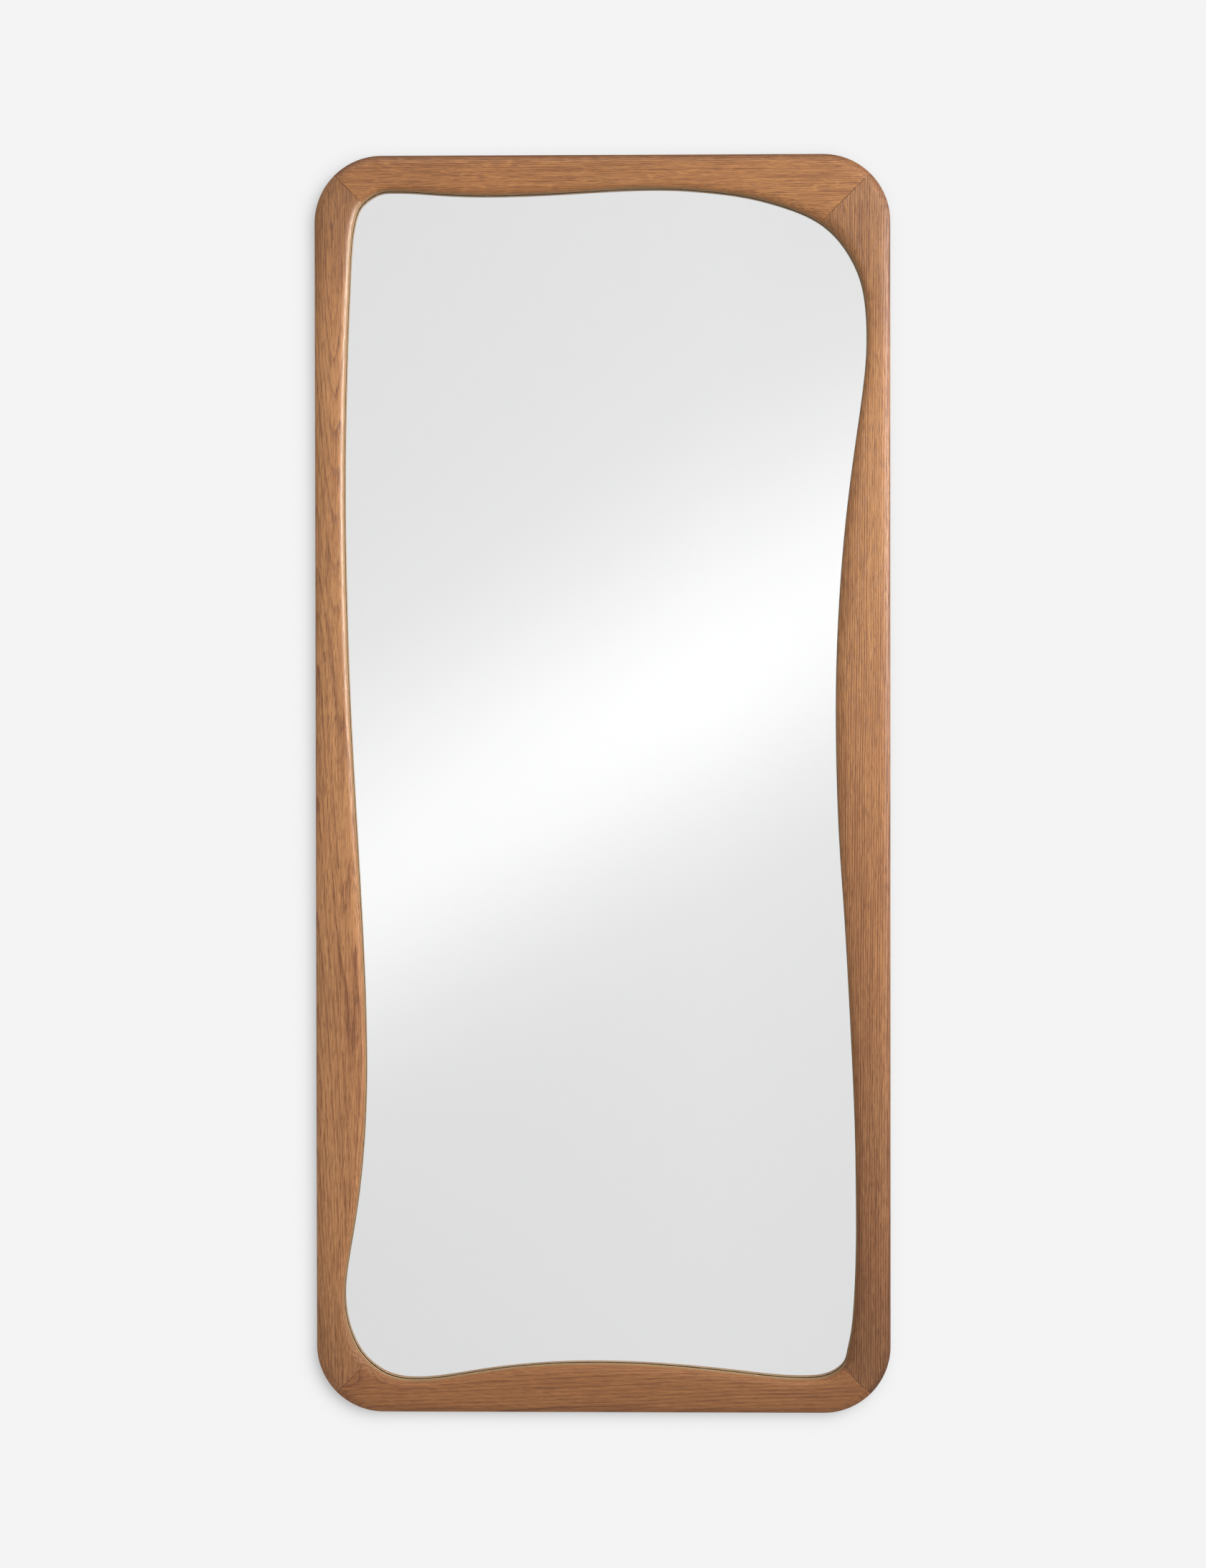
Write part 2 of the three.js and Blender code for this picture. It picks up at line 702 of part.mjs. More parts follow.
function addHangers() {
  const headSeat = 2 * CLEARANCE + STRAP_THICKNESS;
  const barLine = CLEARANCE + CURL_RADIUS;
  for (const { side, x } of HANGER_SPOTS) {
    addPiece(`hanger_strap_${side}`, strapGeometry(), MATERIALS.steel,
      [x, CLEARANCE, HANGER_HEIGHT]);
    addPiece(`hanger_ring_${side}`, ringGeometry(), MATERIALS.steel,
      [x, barLine, HANGER_HEIGHT]);
    STRAP_HOLES.forEach((drop, i) => {
      addPiece(`hanger_screw_${side}_${i + 1}`, screwGeometry(), MATERIALS.steel,
        [x, headSeat, HANGER_HEIGHT - drop]);
    });
  }
}

function addBumpers() {
  let number = 1;
  for (const z of [BUMPER_PLACES, -BUMPER_PLACES]) {
    for (const x of [-STILE_LINE, STILE_LINE]) {
      addPiece(`bumper_${number}`, bumperGeometry(), MATERIALS.rubber, [x, CLEARANCE, z]);
      number += 1;
    }
  }
}

addFrame();
addSheets();
addButtons();
addHangers();
addBumpers();

export default mirror;
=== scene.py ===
"""A full-length wall mirror in a carved oak frame: the looks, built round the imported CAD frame.

Metres, +Z up. The mirror faces -Y, and the wall is on its +Y side. CAD sizes are repeated in
millimetres where the frame's members are built finer, and MM turns them into metres.
"""
import math

import bmesh
import bpy
import numpy as np
from mathutils import Euler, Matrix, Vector
from mathutils.geometry import delaunay_2d_cdt


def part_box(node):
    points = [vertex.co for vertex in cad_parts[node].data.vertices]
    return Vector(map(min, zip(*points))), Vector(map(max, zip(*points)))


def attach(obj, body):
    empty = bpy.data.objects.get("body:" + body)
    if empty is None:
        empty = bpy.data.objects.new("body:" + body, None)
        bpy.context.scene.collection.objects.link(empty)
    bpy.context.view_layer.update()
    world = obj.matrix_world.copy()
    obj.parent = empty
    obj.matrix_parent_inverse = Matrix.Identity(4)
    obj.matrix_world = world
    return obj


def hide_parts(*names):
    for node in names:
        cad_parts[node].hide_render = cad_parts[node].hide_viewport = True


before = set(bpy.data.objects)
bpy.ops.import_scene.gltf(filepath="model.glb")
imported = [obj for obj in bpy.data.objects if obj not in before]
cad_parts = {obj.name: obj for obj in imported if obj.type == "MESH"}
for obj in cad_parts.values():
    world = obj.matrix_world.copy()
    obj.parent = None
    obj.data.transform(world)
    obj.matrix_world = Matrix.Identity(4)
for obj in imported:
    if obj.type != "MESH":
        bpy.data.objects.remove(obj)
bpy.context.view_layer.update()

MM = 0.001
TURN = 2 * math.pi

# ---- Sizes that the CAD frame has, in millimetres ----

HALF_WIDTH = 406.4
HALF_HEIGHT = 889.0
DEPTH = 38.0
CORNER_RADIUS = 95.0
LAND = 22.0
REBATE_FLOOR = -20.0
CROWN = 2.0
BACK_EASE = 1.5
OUTER_ROUND = 14.0
OUTER_DROP = 10.0
INNER_ROUND_SHARE = 0.18
INNER_ROUND_MIN = 7.0
INNER_ROUND_MAX = 18.0
INNER_DROP_BASE = 3.0
INNER_DROP_SHARE = 0.5

CORNER_INSETS = {"top_left": 67, "top_right": 97, "bottom_right": 66.5, "bottom_left": 71}
TOP_WIDTHS = [
    (-318, 52), (-296, 49), (-265, 50), (-225, 53), (-170, 55), (-105, 54), (-40, 51),
    (25, 47.5), (90, 46.5), (145, 50), (198, 57), (243, 68), (280, 81),
]
RIGHT_WIDTHS = [
    (-768, 71), (-735, 50), (-700, 38), (-658, 33), (-608, 33), (-545, 39.5), (-460, 51.5),
    (-360, 63.5), (-250, 72), (-140, 76), (-30, 75.5), (80, 71.5), (185, 64.5), (290, 58.5),
    (390, 53.5), (490, 49.5), (580, 48), (660, 48), (728, 50.5), (775, 54.5), (803, 60),
]
BOTTOM_WIDTHS = [
    (-319, 52), (-289, 47.5), (-245, 49), (-190, 55), (-120, 62), (-45, 67), (30, 68),
    (95, 65), (155, 58.5), (205, 50.5), (245, 45), (280, 44.5), (310, 52.5),
]
LEFT_WIDTHS = [
    (-795, 54.5), (-765, 43), (-732, 38.5), (-695, 40.5), (-643, 49), (-565, 60.5),
    (-470, 68), (-375, 69.5), (-260, 66.5), (-130, 60), (5, 52.5), (140, 46), (280, 42),
    (415, 40.5), (535, 42), (635, 45), (715, 48.5), (768, 51.5), (801, 57),
]
# name, direction along the side, direction outwards, half length, half reach, widths, corners
SIDES = [
    ("top_rail", (1, 0), (0, 1), HALF_WIDTH, HALF_HEIGHT, TOP_WIDTHS, "top_left", "top_right"),
    ("right_stile", (0, -1), (1, 0), HALF_HEIGHT, HALF_WIDTH, RIGHT_WIDTHS,
     "top_right", "bottom_right"),
    ("bottom_rail", (-1, 0), (0, -1), HALF_WIDTH, HALF_HEIGHT, BOTTOM_WIDTHS,
     "bottom_right", "bottom_left"),
    ("left_stile", (0, 1), (-1, 0), HALF_HEIGHT, HALF_WIDTH, LEFT_WIDTHS,
     "bottom_left", "top_left"),
]

# Fineness of the visible members
SPLINE_STEPS = 20
FAN_REACH = 55.0
FAN_STEPS = 44
CORNER_STEPS = 48
STATION_PITCH = 4.0
ROUND_STEPS = 9
FACE_STEPS = 9
# The mitre groove is this share of a fan wide, and this deep
GROOVE_SHARE = 0.0035
GROOVE_DEPTH = 0.35
# The lip's wall has one more row of points this far in front of the rebate's floor
LIP_ROW = 3.0


# ---- Shader graphs ----

class Graph:
    """A material's node tree, with one short method for each kind of node in use."""

    def __init__(self, tree):
        self.tree = tree
        self.tree.nodes.clear()

    def node(self, kind, **settings):
        made = self.tree.nodes.new("ShaderNode" + kind)
        for name, value in settings.items():
            setattr(made, name, value)
        return made

    def feed(self, socket, value):
        if isinstance(value, bpy.types.NodeSocket):
            self.tree.links.new(value, socket)
        elif isinstance(value, (tuple, list)) and len(value) == 3 and socket.type == "RGBA":
            socket.default_value = (*value, 1)
        else:
            socket.default_value = value

    def math(self, operation, a, b=0.0, clamp=False):
        made = self.node("Math", operation=operation, use_clamp=clamp)
        self.feed(made.inputs[0], a)
        self.feed(made.inputs[1], b)
        return made.outputs[0]

    def add(self, a, b):
        return self.math("ADD", a, b)

    def scale(self, a, b):
        return self.math("MULTIPLY", a, b)

    def ease(self, value, low, high, out_low=0.0, out_high=1.0):
        made = self.node("MapRange", interpolation_type="SMOOTHSTEP")
        for socket, given in zip(made.inputs, (value, low, high, out_low, out_high)):
            self.feed(socket, given)
        return made.outputs[0]

    def ramp(self, value, stops):
        made = self.node("ValToRGB")
        line = made.color_ramp.elements
        while len(line) < len(stops):
            line.new(1.0)
        for stop, (place, level) in zip(line, stops):
            stop.position = place
            stop.color = (level, level, level, 1)
        self.feed(made.inputs[0], value)
        return made.outputs[0]

    def mix(self, share, a, b, blend="MIX"):
        made = self.node("Mix", data_type="RGBA", blend_type=blend)
        self.feed(made.inputs[0], share)
        self.feed(made.inputs[6], a)
        self.feed(made.inputs[7], b)
        return made.outputs[2]

    def vector(self, x, y, z):
        made = self.node("CombineXYZ")
        for socket, given in zip(made.inputs, (x, y, z)):
            self.feed(socket, given)
        return made.outputs[0]

    def noise(self, place, scale=1.0, detail=2.0, rough=0.5, distort=0.0):
        made = self.node("TexNoise")
        self.feed(made.inputs["Vector"], place)
        self.feed(made.inputs["Scale"], scale)
        self.feed(made.inputs["Detail"], detail)
        self.feed(made.inputs["Roughness"], rough)
        self.feed(made.inputs["Distortion"], distort)
        return made.outputs["Fac"]

    def streaks(self, place, across, along, deep=None, **settings):
        """Noise drawn out along the grain, at so many cells a metre across and along it.

        place is where a point is across the grain, in depth and along it.
        """
        counts = (across, deep or across, along)
        drawn = [self.scale(part, count) for part, count in zip(place, counts)]
        return self.noise(self.vector(*drawn), **settings)

    def attribute(self, name):
        return self.node("Attribute", attribute_name=name).outputs["Fac"]

    def place(self):
        """Where a point is on its own object, as a vector and as X, Y and Z."""
        vector = self.node("TexCoord").outputs["Object"]
        split = self.node("SeparateXYZ")
        self.feed(split.inputs[0], vector)
        return vector, split.outputs

    def surface(self, bump=None, depth=0.0, **inputs):
        """A Principled surface, with `bump` as a height 0 to 1 that is `depth` metres tall."""
        shader = self.node("BsdfPrincipled")
        for name, value in inputs.items():
            self.feed(shader.inputs[name.replace("_", " ")], value)
        if bump is not None:
            relief = self.node("Bump")
            relief.inputs["Distance"].default_value = depth
            self.feed(relief.inputs["Height"], bump)
            self.feed(shader.inputs["Normal"], relief.outputs[0])
        output = self.node("OutputMaterial")
        self.feed(output.inputs["Surface"], shader.outputs[0])
        return shader


def new_material(name):
    """A new material, and the graph of its nodes."""
    material = bpy.data.materials.new(name)
    material.use_nodes = True
    return material, Graph(material.node_tree)


# Oak: stain soaked into the pores, stain and painted shade at the rim, painted shade low
# down and at the stile ends, a painted highlight on the crest, and the mitre's line, the lip
# and the bare rebate
PORE = (0.175, 0.064, 0.023)
RUDDY = (0.93, 0.80, 0.74)
# Stain and painted shade for the outer rim
RIM_STAIN_AND_SHADE = (0.42, 0.36, 0.32)
# Painted shade, laid low down and at the stile ends
PAINTED_SHADE = (0.55, 0.50, 0.46)
# Painted highlight, a pale cream laid on the upper inner crest
PAINTED_HIGHLIGHT = (0.68, 0.49, 0.31)
JOINT_LINE = (0.085, 0.035, 0.017)
LIP_OAK = (0.34, 0.195, 0.088)
BARE_OAK = (0.56, 0.38, 0.21)

# A small knot in the crook of the bottom left corner bends the year rings round it
KNOT = (-0.331, -0.817)
KNOT_SPREAD = 0.024
KNOT_LIFT = 0.016

# Where up the frame the painted shade starts and stops darkening towards the foot and
# towards the mitres, and where the painted highlight on the crest fades in
LOW_SHADE, END_SHADE, CREST_RISE = (-0.75, 0.15), (0.62, 0.82), (-0.10, 0.30)

# How far from its own edge each mark starts and ends: the rim's stain and painted shade, the
# painted highlight on the crest, the mitre's line and its fading inner and outer ends, and the
# lip
RIM_FADE, CREST_FADE, LINE_FADE = (0.0, 0.013), (0.0012, 0.0055), (0.0002, 0.0007)
LINE_INNER_END, LINE_OUTER_END = (0.010, 0.022), (0.002, 0.018)
LIP_FADE = (0.0003, 0.0010)

# The bare rebate lies behind this depth and inside this distance from the outer edge
REBATE_DEPTH, REBATE_EDGE = (-0.0232, -0.0224), (0.0205, 0.0215)

# How far slow bends and quick waves push the year rings about, and how far along its own log
# each member's noise is taken
BEND_PUSH = 0.010
WAVE_PUSH = 0.0026
LOG_STEP = 3.1


def distance_from_pith(g, across, deep, along, pith):
    """The distance from the log's pith, a line with one knee, given as three points."""
    first, knee, last = pith
    before = g.math("MINIMUM", g.add(along, -knee[0]), 0)
    after = g.math("MAXIMUM", g.add(along, -knee[0]), 0)
    squares = []
    for k, value in ((1, across), (2, deep)):
        away = g.add(value, -knee[k])
        away = g.add(away, g.scale(before, (first[k] - knee[k]) / (knee[0] - first[0])))
        away = g.add(away, g.scale(after, (knee[k] - last[k]) / (last[0] - knee[0])))
        squares.append(g.scale(away, away))
    return g.math("SQRT", g.add(*squares))


def nearness_to_knot(g, x, z):
    """1 at the knot, falling off to 0 round it."""
    away = g.add(x, -KNOT[0]), g.add(z, -KNOT[1])
    square = g.add(*[g.scale(part, part) for part in away])
    return g.math("EXPONENT", g.scale(square, -1 / KNOT_SPREAD ** 2))


def early_wood(g, years, seed):
    """The dark porous wood that starts each year's ring, stronger in some years than others."""
    season = g.math("FRACT", years)
    chance = g.node("TexWhiteNoise", noise_dimensions="1D")
    g.feed(chance.inputs["W"], g.add(g.math("FLOOR", years), seed))
    early = g.ramp(season, [(0.0, 0.35), (0.09, 1.0), (0.24, 0.55), (0.50, 0.10), (1.0, 0.0)])
    return g.scale(early, g.add(g.scale(chance.outputs["Value"], 0.65), 0.35))


def stain_and_painted_light(g, colour, z, rim, low, ends, crest):
    """Stain and painted shade on the rim, painted shade low and at the ends, painted highlight on
    the crest.
    """
    # Stain and painted shade darken the outer rim
    colour = g.mix(rim, colour, RIM_STAIN_AND_SHADE, "MULTIPLY")
    # Painted shade: darker towards the foot
    colour = g.mix(g.ease(z, *LOW_SHADE, low, 0.0), colour, PAINTED_SHADE, "MULTIPLY")
    # Painted shade: darker towards the ends of a stile, next to the mitres
    by_mitre = g.ease(g.math("ABSOLUTE", z), *END_SHADE, 0.0, ends)
    colour = g.mix(by_mitre, colour, PAINTED_SHADE, "MULTIPLY")
    # Painted highlight: the upper inner crest lightened towards pale cream
    highlight_share = g.ease(g.attribute("from_opening"), *CREST_FADE, crest, 0.0)
    return g.mix(g.scale(highlight_share, g.ease(z, *CREST_RISE)), colour, PAINTED_HIGHLIGHT)


def mitre_line(g, vector):
    """The thin broken line of a mitre, which fades towards the opening and the outer edge."""
    broken = g.ease(g.noise(vector, scale=130, detail=1), 0.25, 0.5, 0.30, 0.75)
    line = g.scale(g.ease(g.attribute("from_mitre"), *LINE_FADE, 1.0, 0.0), broken)
    line = g.scale(line, g.ease(g.attribute("from_opening"), *LINE_INNER_END))
    return g.scale(line, g.ease(g.attribute("from_edge"), *LINE_OUTER_END, 0.10, 1.0))


def oak(name, grain, pith, pitch, seed, rings, pores, flecks, light, dark, edge=0.0, low=0.0,
        ends=0.0, crest=0.0):
    """Stained oak cut from a log whose pith runs along `grain` ('X' or 'Z').

    pith is three points of the pith's line, each its place along the grain, across the member
    and in depth. pitch is a year's growth. rings, pores and flecks are strengths, light and
    dark the colours of late and early wood. edge is how much stain and painted shade darken the
    outer edge, low how much painted shade darkens the lower half, and ends how much painted
    shade darkens the ends of a stile, next to the mitres. crest is how much painted highlight
    lightens the upper inner crest.
    """
    material, g = new_material(name)
    vector, (x, y, z) = g.place()
    along, across = (x, z) if grain == "X" else (z, x)
    radius = distance_from_pith(g, across, y, along, pith)
    log = (across, y, g.add(along, seed * LOG_STEP))

    bend = g.add(g.streaks(log, 7, 1.7), -0.5)
    wave = g.add(g.streaks(log, 26, 6), -0.5)
    shift = g.add(g.scale(bend, BEND_PUSH), g.scale(wave, WAVE_PUSH))
    shift = g.add(shift, g.scale(nearness_to_knot(g, x, z), KNOT_LIFT))
    early = early_wood(g, g.scale(g.add(radius, shift), 1 / pitch), seed)

    # Pores in two sizes, closest in the early wood, then fibres, clouds and ray flecks
    porous = g.add(g.scale(early, 0.55), 0.45)
    dash = g.scale(g.ease(g.streaks(log, 980, 48, detail=1), 0.52, 0.60), porous)
    fine = g.scale(g.ease(g.streaks(log, 1900, 95, detail=1), 0.52, 0.66), porous)
    stain = g.add(g.scale(dash, pores), g.scale(fine, pores * 0.55))
    fibre = g.add(g.streaks(log, 640, 11, detail=3, rough=0.70), -0.5)
    cloud = g.add(g.streaks(log, 20, 4, detail=3), -0.5)
    ray = g.ease(g.streaks(log, 150, 52, deep=60, detail=1, distort=0.6), 0.58, 0.74)

    tone = g.scale(early, rings)
    tone = g.add(tone, g.scale(fibre, 2.1))
    tone = g.add(tone, g.scale(cloud, 0.75))
    tone = g.add(tone, g.scale(ray, -flecks))
    colour = g.mix(g.ease(tone, -0.35, 0.95), light, dark)
    ruddy = g.ease(g.streaks(log, 17, 3.3), 0.40, 0.72)
    colour = g.mix(g.scale(ruddy, 0.35), colour, RUDDY, "MULTIPLY")
    colour = g.mix(stain, colour, PORE)

    from_edge = g.attribute("from_edge")
    # How much stain and painted shade darken the rim
    rim = g.ease(from_edge, *RIM_FADE, edge, 0.0)
    # Stain and painted shade on the rim, painted shade low down and at the ends, painted
    # highlight on the crest
    colour = stain_and_painted_light(g, colour, z, rim, low, ends, crest)
    colour = g.mix(mitre_line(g, vector), colour, JOINT_LINE)
    lip = g.ease(g.attribute("from_opening"), *LIP_FADE, 1.0, 0.0)
    colour = g.mix(g.scale(lip, 0.65), colour, LIP_OAK)
    rebate = g.scale(g.ease(y, *REBATE_DEPTH), g.ease(from_edge, *REBATE_EDGE))
    colour = g.mix(rebate, colour, BARE_OAK)

    sheen = g.add(0.26, g.scale(stain, 0.20))
    sheen = g.add(sheen, g.add(g.scale(rim, 0.35), g.scale(lip, 0.5)))
    sheen = g.add(sheen, g.ease(z, -0.70, 0.20, 0.30, 0.0))
    sheen = g.add(sheen, g.scale(fibre, 0.14))
    height = g.add(g.scale(stain, -0.75), g.scale(early, -0.22))
    height = g.add(height, g.scale(fibre, 0.30))
    g.surface(bump=height, depth=0.00022, Base_Color=colour, Roughness=sheen, IOR=1.46)
    return material


def rough_board(name, light, dark, flakes):
    """Pressed fibre board: matted fibres, faint mottling and a few darker flakes."""
    material, g = new_material(name)
    vector, _ = g.place()
    felt = g.noise(vector, scale=1300, detail=3, rough=0.6, distort=0.4)
    strands = g.noise(vector, scale=260, detail=4, rough=0.65, distort=2.2)
    mottle = g.noise(vector, scale=14, detail=4, rough=0.6)
    flake = g.ease(g.noise(vector, scale=480, detail=1, distort=0.8), 0.67, 0.74)
    tone = g.add(g.scale(felt, 0.5), g.scale(strands, 0.5))
    tone = g.add(tone, g.scale(g.add(mottle, -0.5), 0.25))
    colour = g.mix(g.ease(tone, 0.30, 0.70), dark, light)
    colour = g.mix(g.scale(flake, flakes), colour, tuple(0.45 * level for level in dark))
    sheen = g.add(0.70, g.scale(strands, 0.20))
    g.surface(bump=g.add(felt, strands), depth=0.00010, Base_Color=colour, Roughness=sheen)
    return material


def plain_wood(name, light, dark):
    """Unstained beech for the loose tenons: close straight grain and short dark rays."""
    material, g = new_material(name)
    _, place = g.place()
    grain = g.streaks(place, 700, 25, detail=3)
    rays = g.ease(g.streaks(place, 900, 160), 0.62, 0.70)
    colour = g.mix(g.ease(grain, 0.3, 0.7), light, dark)
    colour = g.mix(g.scale(rays, 0.6), colour, tuple(0.5 * level for level in dark))
    g.surface(bump=grain, depth=0.0001, Base_Color=colour, Roughness=g.add(0.6, rays))
    return material


FLUTE_PITCH = 0.0075


def corrugated(name):
    """Kraft cardboard with its flutes showing faintly through the face."""
    material, g = new_material(name)
    vector, (x, _, _) = g.place()
    flute = g.math("SINE", g.scale(x, TURN / FLUTE_PITCH))
    pulp = g.noise(vector, scale=650, detail=3)
    tone = g.add(g.scale(flute, 0.12), pulp)
    colour = g.mix(g.ease(tone, 0.3, 0.8), (0.33, 0.22, 0.12), (0.47, 0.33, 0.19))
    g.surface(bump=tone, depth=0.0002, Base_Color=colour,
              Roughness=g.add(0.75, g.scale(pulp, 0.2)))
    return material


def zinc(name):
    """Zinc plated steel: faint crystals, rolled streaks and dull warm spots."""
    material, g = new_material(name)
    vector, place = g.place()
    crystal = g.node("TexVoronoi")
    g.feed(crystal.inputs["Vector"], vector)
    crystal.inputs["Scale"].default_value = 700
    split = g.node("SeparateColor")
    g.feed(split.inputs[0], crystal.outputs["Color"])
    grainy = split.outputs[0]
    rub = g.streaks(place, 1600, 110, detail=3, rough=0.6)
    dull = g.ease(g.noise(vector, scale=85, detail=4), 0.45, 0.70)
    colour = g.mix(grainy, (0.45, 0.46, 0.48), (0.57, 0.57, 0.56))
    colour = g.mix(g.scale(dull, 0.45), colour, (0.38, 0.36, 0.31))
    sheen = g.add(g.add(0.24, g.scale(rub, 0.18)), g.scale(dull, 0.16))
    height = g.add(g.scale(rub, 0.8), g.scale(grainy, 0.2))
    g.surface(bump=height, depth=0.00002, Base_Color=colour, Roughness=sheen, Metallic=1.0)
    return material


def rubber(name):
    """Moulded dark rubber with bloom and a fine matt grain."""
    material, g = new_material(name)
    vector, _ = g.place()
    bloom = g.ease(g.noise(vector, scale=190, detail=4), 0.40, 0.72)
    grit = g.noise(vector, scale=2600, detail=2)
    colour = g.mix(g.scale(bloom, 0.5), (0.030, 0.028, 0.027), (0.082, 0.078, 0.073))
    g.surface(bump=grit, depth=0.00008, Base_Color=colour,
              Roughness=g.add(0.62, g.scale(bloom, 0.22)))
    return material


def float_glass(name):
    """Clear float glass, with a trace of green and the finest polishing haze."""
    material, g = new_material(name)
    vector, _ = g.place()
    haze = g.noise(vector, scale=6, detail=3)
    g.surface(Base_Color=(0.988, 0.990, 0.989), Roughness=g.scale(haze, 0.003), IOR=1.5,
              Transmission_Weight=1.0)
    return material


def silvering(name):
    """The silver coat behind the glass, with a very slight unevenness of the float glass."""
    material, g = new_material(name)
    vector, _ = g.place()
    ripple = g.noise(vector, scale=7, detail=1)
    tint = g.mix(ripple, (0.965, 0.967, 0.966), (0.972, 0.973, 0.973))
    g.surface(Base_Color=tint, Roughness=g.scale(ripple, 0.004), Metallic=1.0)
    return material


# ---- Frame members: the CAD section and outline, at a fine pitch ----

def to_plan(side, along, inset):
    _, run, out, _, across, *_ = side
    along, inset = np.asarray(along, float), np.asarray(inset, float)
    return np.stack([run[k] * along + out[k] * (across - inset) for k in (0, 1)], -1)


def opening_paths():
    """The wavy opening as one dense line of plan points for each side."""
    knots, first = [], []
    for side in SIDES:
        half, widths, start = side[3], side[5], CORNER_INSETS[side[6]]
        first.append(len(knots))
        knots.append(to_plan(side, start - half, start))
        knots += [to_plan(side, along, width) for along, width in widths]
    count = len(knots)
    blend = np.zeros((count, count))
    for i in range(count):
        blend[i, i] = 4 / 6
        blend[i, (i + 1) % count] = blend[i, i - 1] = 1 / 6
    controls = np.linalg.solve(blend, np.array(knots))
    t = np.arange(SPLINE_STEPS) / SPLINE_STEPS
    weights = np.stack([(1 - t) ** 3, 3 * t ** 3 - 6 * t ** 2 + 4,
                        -3 * t ** 3 + 3 * t ** 2 + 3 * t + 1, t ** 3], -1) / 6
    paths = []
    for number in range(len(SIDES)):
        last = first[number + 1] if number + 1 < len(SIDES) else count
        spans = [weights @ controls[[(i + k) % count for k in (-1, 0, 1, 2)]]
                 for i in range(first[number], last)]
        paths.append(np.concatenate([*spans, knots[last % count][None]]))
    return paths


def depth_from_edge(points):
    x = np.abs(points[:, 0]) - (HALF_WIDTH - CORNER_RADIUS)
    z = np.abs(points[:, 1]) - (HALF_HEIGHT - CORNER_RADIUS)
    corner = (x > 0) & (z > 0)
    gap = np.where(corner, np.hypot(x, z), np.maximum(x, z))
    return np.maximum(0, CORNER_RADIUS - gap)


def distance_to_path(points, path):
    start, step = path[:-1], np.diff(path, axis=0)
    square = (step ** 2).sum(-1)
    nearest = np.empty(len(points))
    for begin in range(0, len(points), 1500):
        part = points[begin:begin + 1500, None] - start
        share = np.clip((part * step).sum(-1) / square, 0, 1)
        gap = part - share[..., None] * step
        nearest[begin:begin + 1500] = np.sqrt((gap ** 2).sum(-1).min(-1))
    return nearest


def rounding_drop(distance, width, drop):
    share = np.clip(1 - distance / width, 0, 1)
    return drop * (1 - np.sqrt(1 - share ** 2))


def inner_round(width):
    return np.clip(INNER_ROUND_SHARE * width, INNER_ROUND_MIN, INNER_ROUND_MAX)


def front_at(from_edge, from_opening):
    width = from_edge + from_opening
    lean = (from_edge - from_opening) / width
    inner = inner_round(width)
    drop = INNER_DROP_BASE + INNER_DROP_SHARE * inner
    return (CROWN * lean ** 2 - DEPTH + rounding_drop(from_edge, OUTER_ROUND, OUTER_DROP)
            + rounding_drop(from_opening, inner, drop))


def corner_path(side, inset, end):
    radius, centre = CORNER_RADIUS - inset, side[3] - CORNER_RADIUS
    angle = math.pi / 4 * (1 - np.arange(CORNER_STEPS + 1) / CORNER_STEPS)
    arc = to_plan(side, end * (centre + radius * np.sin(angle)),
                  CORNER_RADIUS - radius * np.cos(angle))
    return np.concatenate([arc, to_plan(side, [end * (centre - FAN_REACH)], [inset])])


def at_shares(path, shares):
    length = np.concatenate([[0], np.cumsum(np.hypot(*np.diff(path, axis=0).T))])
    return np.stack([np.interp(shares * length[-1], length, path[:, k]) for k in (0, 1)], -1)


def stations(side, opening):
    """Plan points of the outer edge, the rebate's edge and the opening at each station."""
    _, run, out, half, across, *_ = side
    straight_end = half - CORNER_RADIUS - FAN_REACH
    along = opening @ np.array(run, float)
    inset = across - opening @ np.array(out, float)
    fans = []
    for end in (-1, 1):
        limit = to_plan(side, [end * straight_end],
                        [np.interp(end * straight_end, along, inset)])
        corner = opening[end * along > straight_end]
        corner = np.concatenate([corner if end < 0 else corner[::-1], limit])
        paths = [corner_path(side, 0, end), corner_path(side, LAND, end), corner]
        shares = np.concatenate([[0, GROOVE_SHARE], np.arange(1, FAN_STEPS) / FAN_STEPS])
        fans.append(np.stack([at_shares(path, shares) for path in paths], 1))
    count = round(2 * straight_end / STATION_PITCH)
    places = straight_end * np.linspace(-1, 1, count + 1)
    straight = np.stack([
        to_plan(side, places, 0 * places),
        to_plan(side, places, 0 * places + LAND),
        to_plan(side, places, np.interp(places, along, inset)),
    ], 1)
    return np.concatenate([fans[0], straight, fans[1][::-1]])


